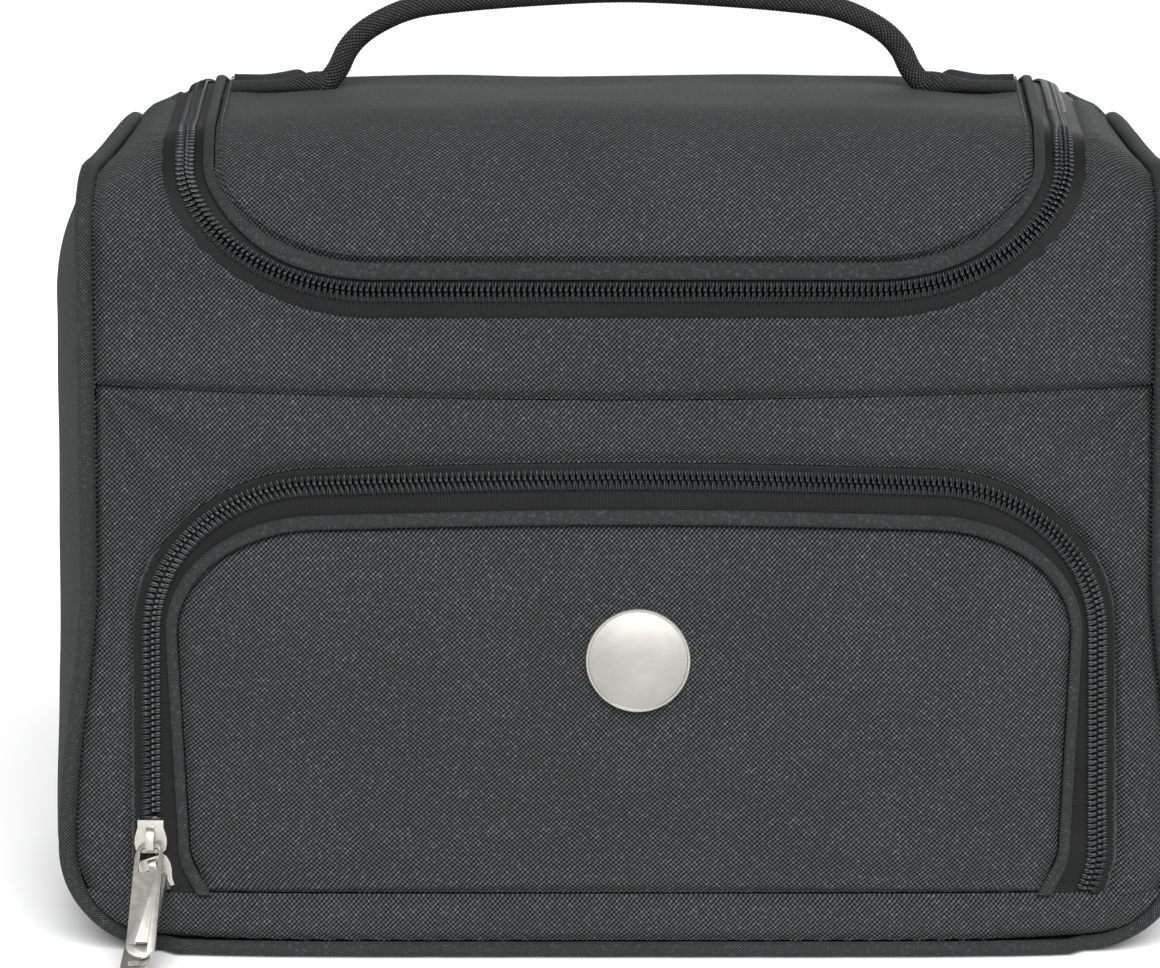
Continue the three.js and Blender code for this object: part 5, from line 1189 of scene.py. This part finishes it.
def piping():
    """The closed loop of piping around both edges of the wrap."""
    p = [float(v) for v in profile(HALF_WIDTH)]
    arc, start, end, fall = p[4:]
    up = np.concatenate([WRAP_LIFT + (BASE_RADIUS - WRAP_LIFT) * np.linspace(0, 1, 26) ** 1.8,
                         np.linspace(BASE_RADIUS, arc, 60)[1:]])
    over = np.concatenate([np.linspace(arc, start, 16)[1:], np.linspace(start, end, 50)[1:],
                           np.linspace(end, fall, 16)[1:]])
    down = back_place(HALF_WIDTH, up[::-1])[1:]
    one = np.concatenate([up, over, down])
    u = np.concatenate([np.full(len(one), HALF_WIDTH), np.full(len(one), -HALF_WIDTH)])
    at = surface(u, np.concatenate([one, one[::-1]]), CORD_SINK)
    centre = np.stack([np.where(at[:, 2] < BASE_RADIUS, np.sign(u) * BASE_CENTRE, 0), at[:, 1],
                       np.where(at[:, 2] < BASE_RADIUS, BASE_RADIUS, at[:, 2])], -1)
    middle = at + unit(at - centre) * CORD_REACH
    # the cloth of the top stands over its piping
    crown = (middle[:, 2] - CORD_DIP_SHARE * middle[:, 2].max()) / CORD_DIP_WITHIN
    middle[:, 2] -= CORD_DIP * smooth(crown)
    # the runs under the front and the back need stations of their own
    half = len(one)
    bottom = lambda a, b: a[None] + (b - a)[None] * np.linspace(0, 1, 60)[1:-1, None]
    front_run = bottom(middle[-1], middle[0])
    front_run[:, 1] -= base_fullness(front_run[:, 0], 0)
    line = np.concatenate([middle[:half], bottom(middle[half - 1], middle[half]), middle[half:], front_run])
    along = unit(np.roll(line, -1, 0) - np.roll(line, 1, 0))
    across = unit(np.cross(along, np.array([0, 0, BULGE_MIDDLE]) - line))
    rise = np.cross(across, along)
    d = distance(line)
    a = np.linspace(0, 2 * PI, 15)
    size = CORD_RADIUS + CORD_SWELL + CORD_UNEVEN * np.sin(d / 3.1) * np.sin(d / 7.7)
    size = size - CORD_THINNED * ease(line[:, 2], CORD_THIN_BAND)
    places = tube(line, across, rise, size, size, a)
    places[..., 2] = np.maximum(places[..., 2], LOWEST)
    places = np.concatenate([places, places[:1]])
    d = np.append(d, d[-1] + 3)
    own = np.stack(np.broadcast_arrays(d[:, None], a[None] * CORD_RADIUS), -1) * 0.001
    obj = new_grid("edge_cord_piping", places, own, closed=True)
    finish_piece(obj, PIPING, "case", "edge_cord", 60)


def lining_cloth():
    """The tub that lines the main compartment, with soft upright creases."""
    inset = PANEL + LINING + POCKET_DEPTH + POCKET_WALL + GAP * 3
    floor = PANEL + BOARD + GAP * 2
    angles = np.linspace(0, 2 * PI, 241)

    def wall(z, h):
        cos, sin = np.cos(angles), np.sin(angles)
        low, high = np.zeros_like(angles), np.full_like(angles, HALF_WIDTH * 2)
        for _ in range(40):
            r = (low + high) / 2
            x, y = np.abs(r * cos), r * sin
            eta = np.clip(np.abs(y) / SIDE_HALF_DEPTH, 0, 1)
            if z >= BASE_RADIUS:
                width = wall_half_width(z) + CORD_REACH + SIDE_TUCK + side_bulge(eta, z) - PANEL - EASE - h
            else:
                radius = CORD_BASE + SIDE_TUCK - PANEL - GAP - h
                width = BASE_CENTRE + np.sqrt(max(radius ** 2 - (BASE_RADIUS - z) ** 2, 0)) + 0 * eta
            q = np.clip(x / HALF_WIDTH, 0, 1)
            front = HALF_DEPTH + bulge(q, z, FRONT_BULGE) - inset - h
            back = HALF_DEPTH + bulge(q, z, BACK_BULGE) - PANEL - EASE - h
            fill = (x / width) ** LINING_BEND + (np.abs(y) / np.where(y < 0, front, back)) ** LINING_BEND
            low, high = np.where(fill < 1, r, low), np.where(fill < 1, high, r)
        return np.stack([low * cos, low * sin, np.full_like(low, z)], -1)

    waves = np.sin(angles * 46 + 3 * np.sin(angles * 5))
    base = wall(floor, SEAM_GAP)
    levels = [base * [t, t, 1] for t in np.linspace(0, 1, 14)]
    for t in np.linspace(0, 1, 60)[1:]:
        z = floor + (LINING_RIM - floor) * t ** 1.4
        crease = CREASE_DEPTH + CREASE_WAVE * waves * ease(z, CREASE_BAND)
        level = wall(z, SEAM_GAP)
        levels.append(level - unit(level * [1, 1, 0]) * crease[:, None])
    places = np.stack(levels)
    own = np.stack([places[..., 0] + places[..., 1], places[..., 2]], -1) * 0.001
    obj = new_grid("case_lining_cloth", places, own, closed=True)
    sewn(obj, TUB_STOCK, TAFFETA, "case", "case_lining")


# handle: its cord has real ribs, and its ends are pressed flatter on the lid
ROPE_SINK, RIB_DEPTH, RIB_PITCH = 0.05, 0.07, 1.1
FLATTEN_WITHIN, RUN_RISE, TAB_CLEAR, TAB_SHORT = 12.0, 0.6, 0.2, 0.3
TAB_START, TAB_LOSS, TAB_TIP, TAB_TIP_REACH = 1.35, 0.45, 0.45, 7

# the section of the webbing beside the cord: distance from the cord, and height
TAB_SECTION = [(0, GAP), (0, TAB_FLANGE - 0.5), (TAB_STOCK * 0.5, TAB_FLANGE), (TAB_STOCK, TAB_FLANGE - 0.5),
               (TAB_STOCK + 0.5, 2.2), (TAB_REACH * 0.6, 1.25), (TAB_REACH, 1.0), (TAB_REACH, GAP),
               (2.0, GAP), (0, GAP)]


def rope(name, points, body, cad, rings, flatness=1.0):
    """A corded tube through points, with its ribs as real rings."""
    p = np.asarray(points, float)
    step = distance(p)
    d = np.linspace(0, step[-1], rings)
    line = np.stack([np.interp(d, step, p[:, k]) for k in range(3)], -1)
    deep = np.broadcast_to([0.0, 1.0, 0.0], line.shape)
    rise = unit(np.cross(unit(np.gradient(line, axis=0)), deep))
    a = np.linspace(0, 2 * PI, 19)
    size = HANDLE_RADIUS - ROPE_SINK + RIB_DEPTH * np.cos(2 * PI * d / RIB_PITCH)
    tall = size * np.interp(d, step, np.broadcast_to(flatness, step.shape))
    places = tube(line, deep, rise, size, tall, a)
    own = np.stack(np.broadcast_arrays(d[:, None], a[None] * HANDLE_RADIUS), -1) * 0.001
    obj = new_grid(name, places, own, capped=True)
    return finish_piece(obj, ROPE, body, cad, 70)


def curve_through(points, count):
    """A smooth centripetal curve through points."""
    p = np.asarray(points, float)
    p = np.concatenate([[2 * p[0] - p[1]], p, [2 * p[-1] - p[-2]]])
    out = []
    for i in range(1, len(p) - 2):
        p0, p1, p2, p3 = p[i - 1:i + 3]
        t0 = 0.0
        t1 = t0 + np.linalg.norm(p1 - p0) ** 0.5
        t2 = t1 + np.linalg.norm(p2 - p1) ** 0.5
        t3 = t2 + np.linalg.norm(p3 - p2) ** 0.5
        t = np.linspace(t1, t2, count)[:, None]
        a1 = (t1 - t) / (t1 - t0) * p0 + (t - t0) / (t1 - t0) * p1
        a2 = (t2 - t) / (t2 - t1) * p1 + (t - t1) / (t2 - t1) * p2
        a3 = (t3 - t) / (t3 - t2) * p2 + (t - t2) / (t3 - t2) * p3
        b1 = (t2 - t) / (t2 - t0) * a1 + (t - t0) / (t2 - t0) * a2
        b2 = (t3 - t) / (t3 - t1) * a2 + (t - t1) / (t3 - t1) * a3
        out.append(((t2 - t) / (t2 - t1) * b1 + (t - t1) / (t2 - t1) * b2)[:-1])
    out.append(p[-2:-1])
    return np.concatenate(out)


def handle_tab(side, sign):
    """The webbing that holds a sewn end of the cord."""
    end = HANDLE_FOOT + HANDLE_RUN
    away, height = np.array(TAB_SECTION).T[:, None]
    x = np.linspace(HANDLE_FOOT + TAB_SHORT, end - TAB_SHORT, 40)[:, None]
    y = HANDLE_RADIUS + TAB_CLEAR + away
    u = np.broadcast_to(sign * x, (len(x), away.size))
    rise = TAB_START - TAB_LOSS * ease(x, (HANDLE_FOOT, end))
    rise *= TAB_TIP + (1 - TAB_TIP) * ease(x, (HANDLE_FOOT, HANDLE_FOOT + TAB_TIP_REACH))
    places = surface(u, top_place(u, HANDLE_DEPTH + y), -(GAP + (height - GAP) * rise))
    own = np.stack([u, y + height + 0 * u], -1) * 0.001
    obj = new_grid(f"handle_tab_{side}_webbing", places, own, capped=True)
    finish_piece(obj, BINDING, "lid", f"handle_tab_{side}", 50)


def handle():
    foot_height = float(profile(HANDLE_FOOT)[1]) + GAP + HANDLE_RADIUS
    half = [(a * HANDLE_FOOT, HANDLE_DEPTH, foot_height + b * HANDLE_RISE)
            for a, b in zip(SPAN_SHARES, RISE_SHARES)]
    points = half + [(-x, y, z) for x, y, z in half[-2::-1]]
    rope("handle_arch_rope", curve_through(points, 24), "handle", "handle_arch", 840)
    for side, sign in (("left", -1), ("right", 1)):
        x = np.linspace(HANDLE_FOOT + 0.1, HANDLE_FOOT + HANDLE_RUN, 30)
        round_share = 1 - smooth((x - HANDLE_FOOT) / FLATTEN_WITHIN)
        tall = RUN_FLATNESS + (1 - RUN_FLATNESS) * round_share
        z = profile(x)[1] + GAP + HANDLE_RADIUS * tall
        z = np.minimum(z + RUN_RISE * crown_lift(x, HANDLE_DEPTH) * (1 - round_share), foot_height)
        run = np.stack([sign * x, np.full_like(x, HANDLE_DEPTH), z], -1)
        rope(f"handle_run_{side}_rope", run, "lid", f"handle_run_{side}", 110, tall)
        handle_tab(side, sign)


# metal pieces
BEVEL_ANGLE, SLIDER_ROUNDING, PULL_ROUNDING = 34, 0.22, 0.32
DISC_DEPTH, DISC_EDGE, RIM_RISE, RIM_WIDTH = 0.0014, 0.00022, 0.00025, 0.00055
RIM_SLOPE, RIM_FALL, FACE_RINGS, FACE_STEP, FACE_SWELL = 0.0002, 0.00032, 9, 0.085, 0.00028


def rounded_metal(name, width):
    """A CAD piece of metal keeps its shape, with rounded edges."""
    obj = NODES[name]
    weld = obj.modifiers.new("weld", "WELD")
    weld.merge_threshold = 0.000005
    bevel = obj.modifiers.new("rounding", "BEVEL")
    bevel.width = width * 0.001
    bevel.segments = 3
    bevel.limit_method = "ANGLE"
    bevel.angle_limit = math.radians(BEVEL_ANGLE)
    bevel.harden_normals = True
    obj.data.materials.clear()
    obj.data.materials.append(NICKEL)
    for polygon in obj.data.polygons:
        polygon.use_smooth = True


def medallion():
    """A turned disc: a thin raised rim around a satin face that swells in the middle."""
    low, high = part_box("medallion")
    radius = (high[0] - low[0]) / 2
    centre = [(a + b) / 2 for a, b in zip(low, high)]
    deselect()
    middle = (centre[0], high[1] - DISC_DEPTH / 2, centre[2])
    bpy.ops.mesh.primitive_cylinder_add(vertices=128, radius=radius, depth=DISC_DEPTH, location=middle,
                                        rotation=(PI / 2, 0, 0))
    obj = bpy.context.object
    obj.name = obj.data.name = "medallion_disc"
    bpy.ops.object.transform_apply(location=True, rotation=True, scale=True)
    in_edit(obj, lambda: bpy.ops.mesh.select_all(action="DESELECT"))
    for polygon in obj.data.polygons:
        polygon.select = polygon.normal.y < -0.9
    pick(obj)
    bpy.ops.object.mode_set(mode="EDIT")
    bpy.ops.mesh.select_mode(type="FACE")
    push = lambda y: bpy.ops.transform.translate(value=(0, y, 0))
    bpy.ops.mesh.inset(thickness=DISC_EDGE)
    push(-RIM_RISE)
    bpy.ops.mesh.inset(thickness=RIM_WIDTH)
    bpy.ops.mesh.inset(thickness=RIM_SLOPE)
    push(RIM_FALL)
    for k in range(FACE_RINGS):
        bpy.ops.mesh.inset(thickness=radius * FACE_STEP)
        push(-FACE_SWELL * (1 - k / FACE_RINGS))
    bpy.ops.mesh.poke()
    bpy.ops.object.mode_set(mode="OBJECT")
    finish_piece(obj, SATIN, "pocket_flap", "medallion", 35)


def hardware():
    for name in ("pocket_slider_upper", "pocket_slider_lower", "lid_slider_outer", "lid_slider_inner"):
        rounded_metal(name, SLIDER_ROUNDING)
    for name in ("pocket_pull_upper", "pocket_pull_lower", "lid_pull_outer", "lid_pull_inner"):
        rounded_metal(name, PULL_ROUNDING)
    board = NODES["base_board"]
    board.data.materials.clear()
    board.data.materials.append(FIBRE)


# stage, light and camera
def staging():
    deselect()
    bpy.ops.mesh.primitive_plane_add(size=24, location=(0, 0, -0.0002))
    floor = bpy.context.object
    floor.name = "floor"
    w = Wires("pale_floor")
    speck = w.noise(3.0, 2.0)
    w.finish(w.ramp(speck, (0.955, 0.955, 0.955), (0.97, 0.97, 0.97)), 0.8)
    floor.data.materials.append(w.material)
    world = bpy.data.worlds.new("studio")
    bpy.context.scene.world = world
    world.use_nodes = True
    tree = world.node_tree
    tree.nodes.clear()
    out = tree.nodes.new("ShaderNodeOutputWorld")
    both = tree.nodes.new("ShaderNodeMixShader")
    ray = tree.nodes.new("ShaderNodeLightPath")
    fill, white = tree.nodes.new("ShaderNodeBackground"), tree.nodes.new("ShaderNodeBackground")
    fill.inputs["Strength"].default_value = 0.26
    white.inputs["Strength"].default_value = 1.0
    for n in (fill, white):
        n.inputs["Color"].default_value = (1, 1, 1, 1)
    tree.links.new(ray.outputs["Is Camera Ray"], both.inputs[0])
    tree.links.new(fill.outputs[0], both.inputs[1])
    tree.links.new(white.outputs[0], both.inputs[2])
    tree.links.new(both.outputs[0], out.inputs[0])

    def lamp(kind, name, place, aim, strength):
        deselect()
        bpy.ops.object.light_add(type=kind, location=place)
        light = bpy.context.object
        light.name = name
        light.data.energy = strength
        d = np.array(aim) - np.array(place)
        light.rotation_euler = (math.acos(-d[2] / np.linalg.norm(d)), 0, math.atan2(d[0], -d[1]) + PI)
        return light.data

    lamp("SUN", "window_light", (0.1, -1.0, 0.74), (0, 0, 0), 5.2).angle = math.radians(48)
    lamp("AREA", "front_screen", (-0.2, -2.6, 1.2), (0, 0, 0.1), 5).size = 2.4
    lamp("AREA", "rear_screen", (0.6, 2.6, 0.8), (0, 0, 0.12), 30).size = 2.0


# the camera that was fitted to the photo: eye in metres, focal length in the photo's pixels
EYE, PITCH, FOCAL_PX, SHIFT_X, SHIFT_Y = (0.0, -1.3083, 0.3577), math.radians(7.5), 4131.0, -0.038, -0.15
PHOTO_WIDTH, SENSOR_WIDTH = 1160, 36.0


def camera():
    deselect()
    bpy.ops.object.camera_add(location=EYE)
    cam = bpy.context.object
    cam.rotation_euler = (PI / 2 - PITCH, 0, 0)
    cam.data.sensor_fit = "HORIZONTAL"
    cam.data.sensor_width = SENSOR_WIDTH
    cam.data.lens = FOCAL_PX / PHOTO_WIDTH * SENSOR_WIDTH
    cam.data.shift_x = SHIFT_X
    cam.data.shift_y = SHIFT_Y
    cam.data.clip_start, cam.data.clip_end = 0.01, 100
    bpy.context.scene.camera = cam


staging()
camera()
base_strip_cloth()
frame_cloth()
flap_cloth()
pocket_wall_cloth()
pocket_zip()
lid_cloth()
lid_zip()
yoke_cloth()
back_cloth()
hinge_fold()
side_cloth("side_panel_left", -1)
side_cloth("side_panel_right", 1)
base_cloth()
piping()
lining_cloth()
handle()
medallion()
hardware()
for form in (TOOTH, STITCH):
    bpy.data.objects.remove(form)

bpy.context.scene.view_settings.view_transform = "Standard"
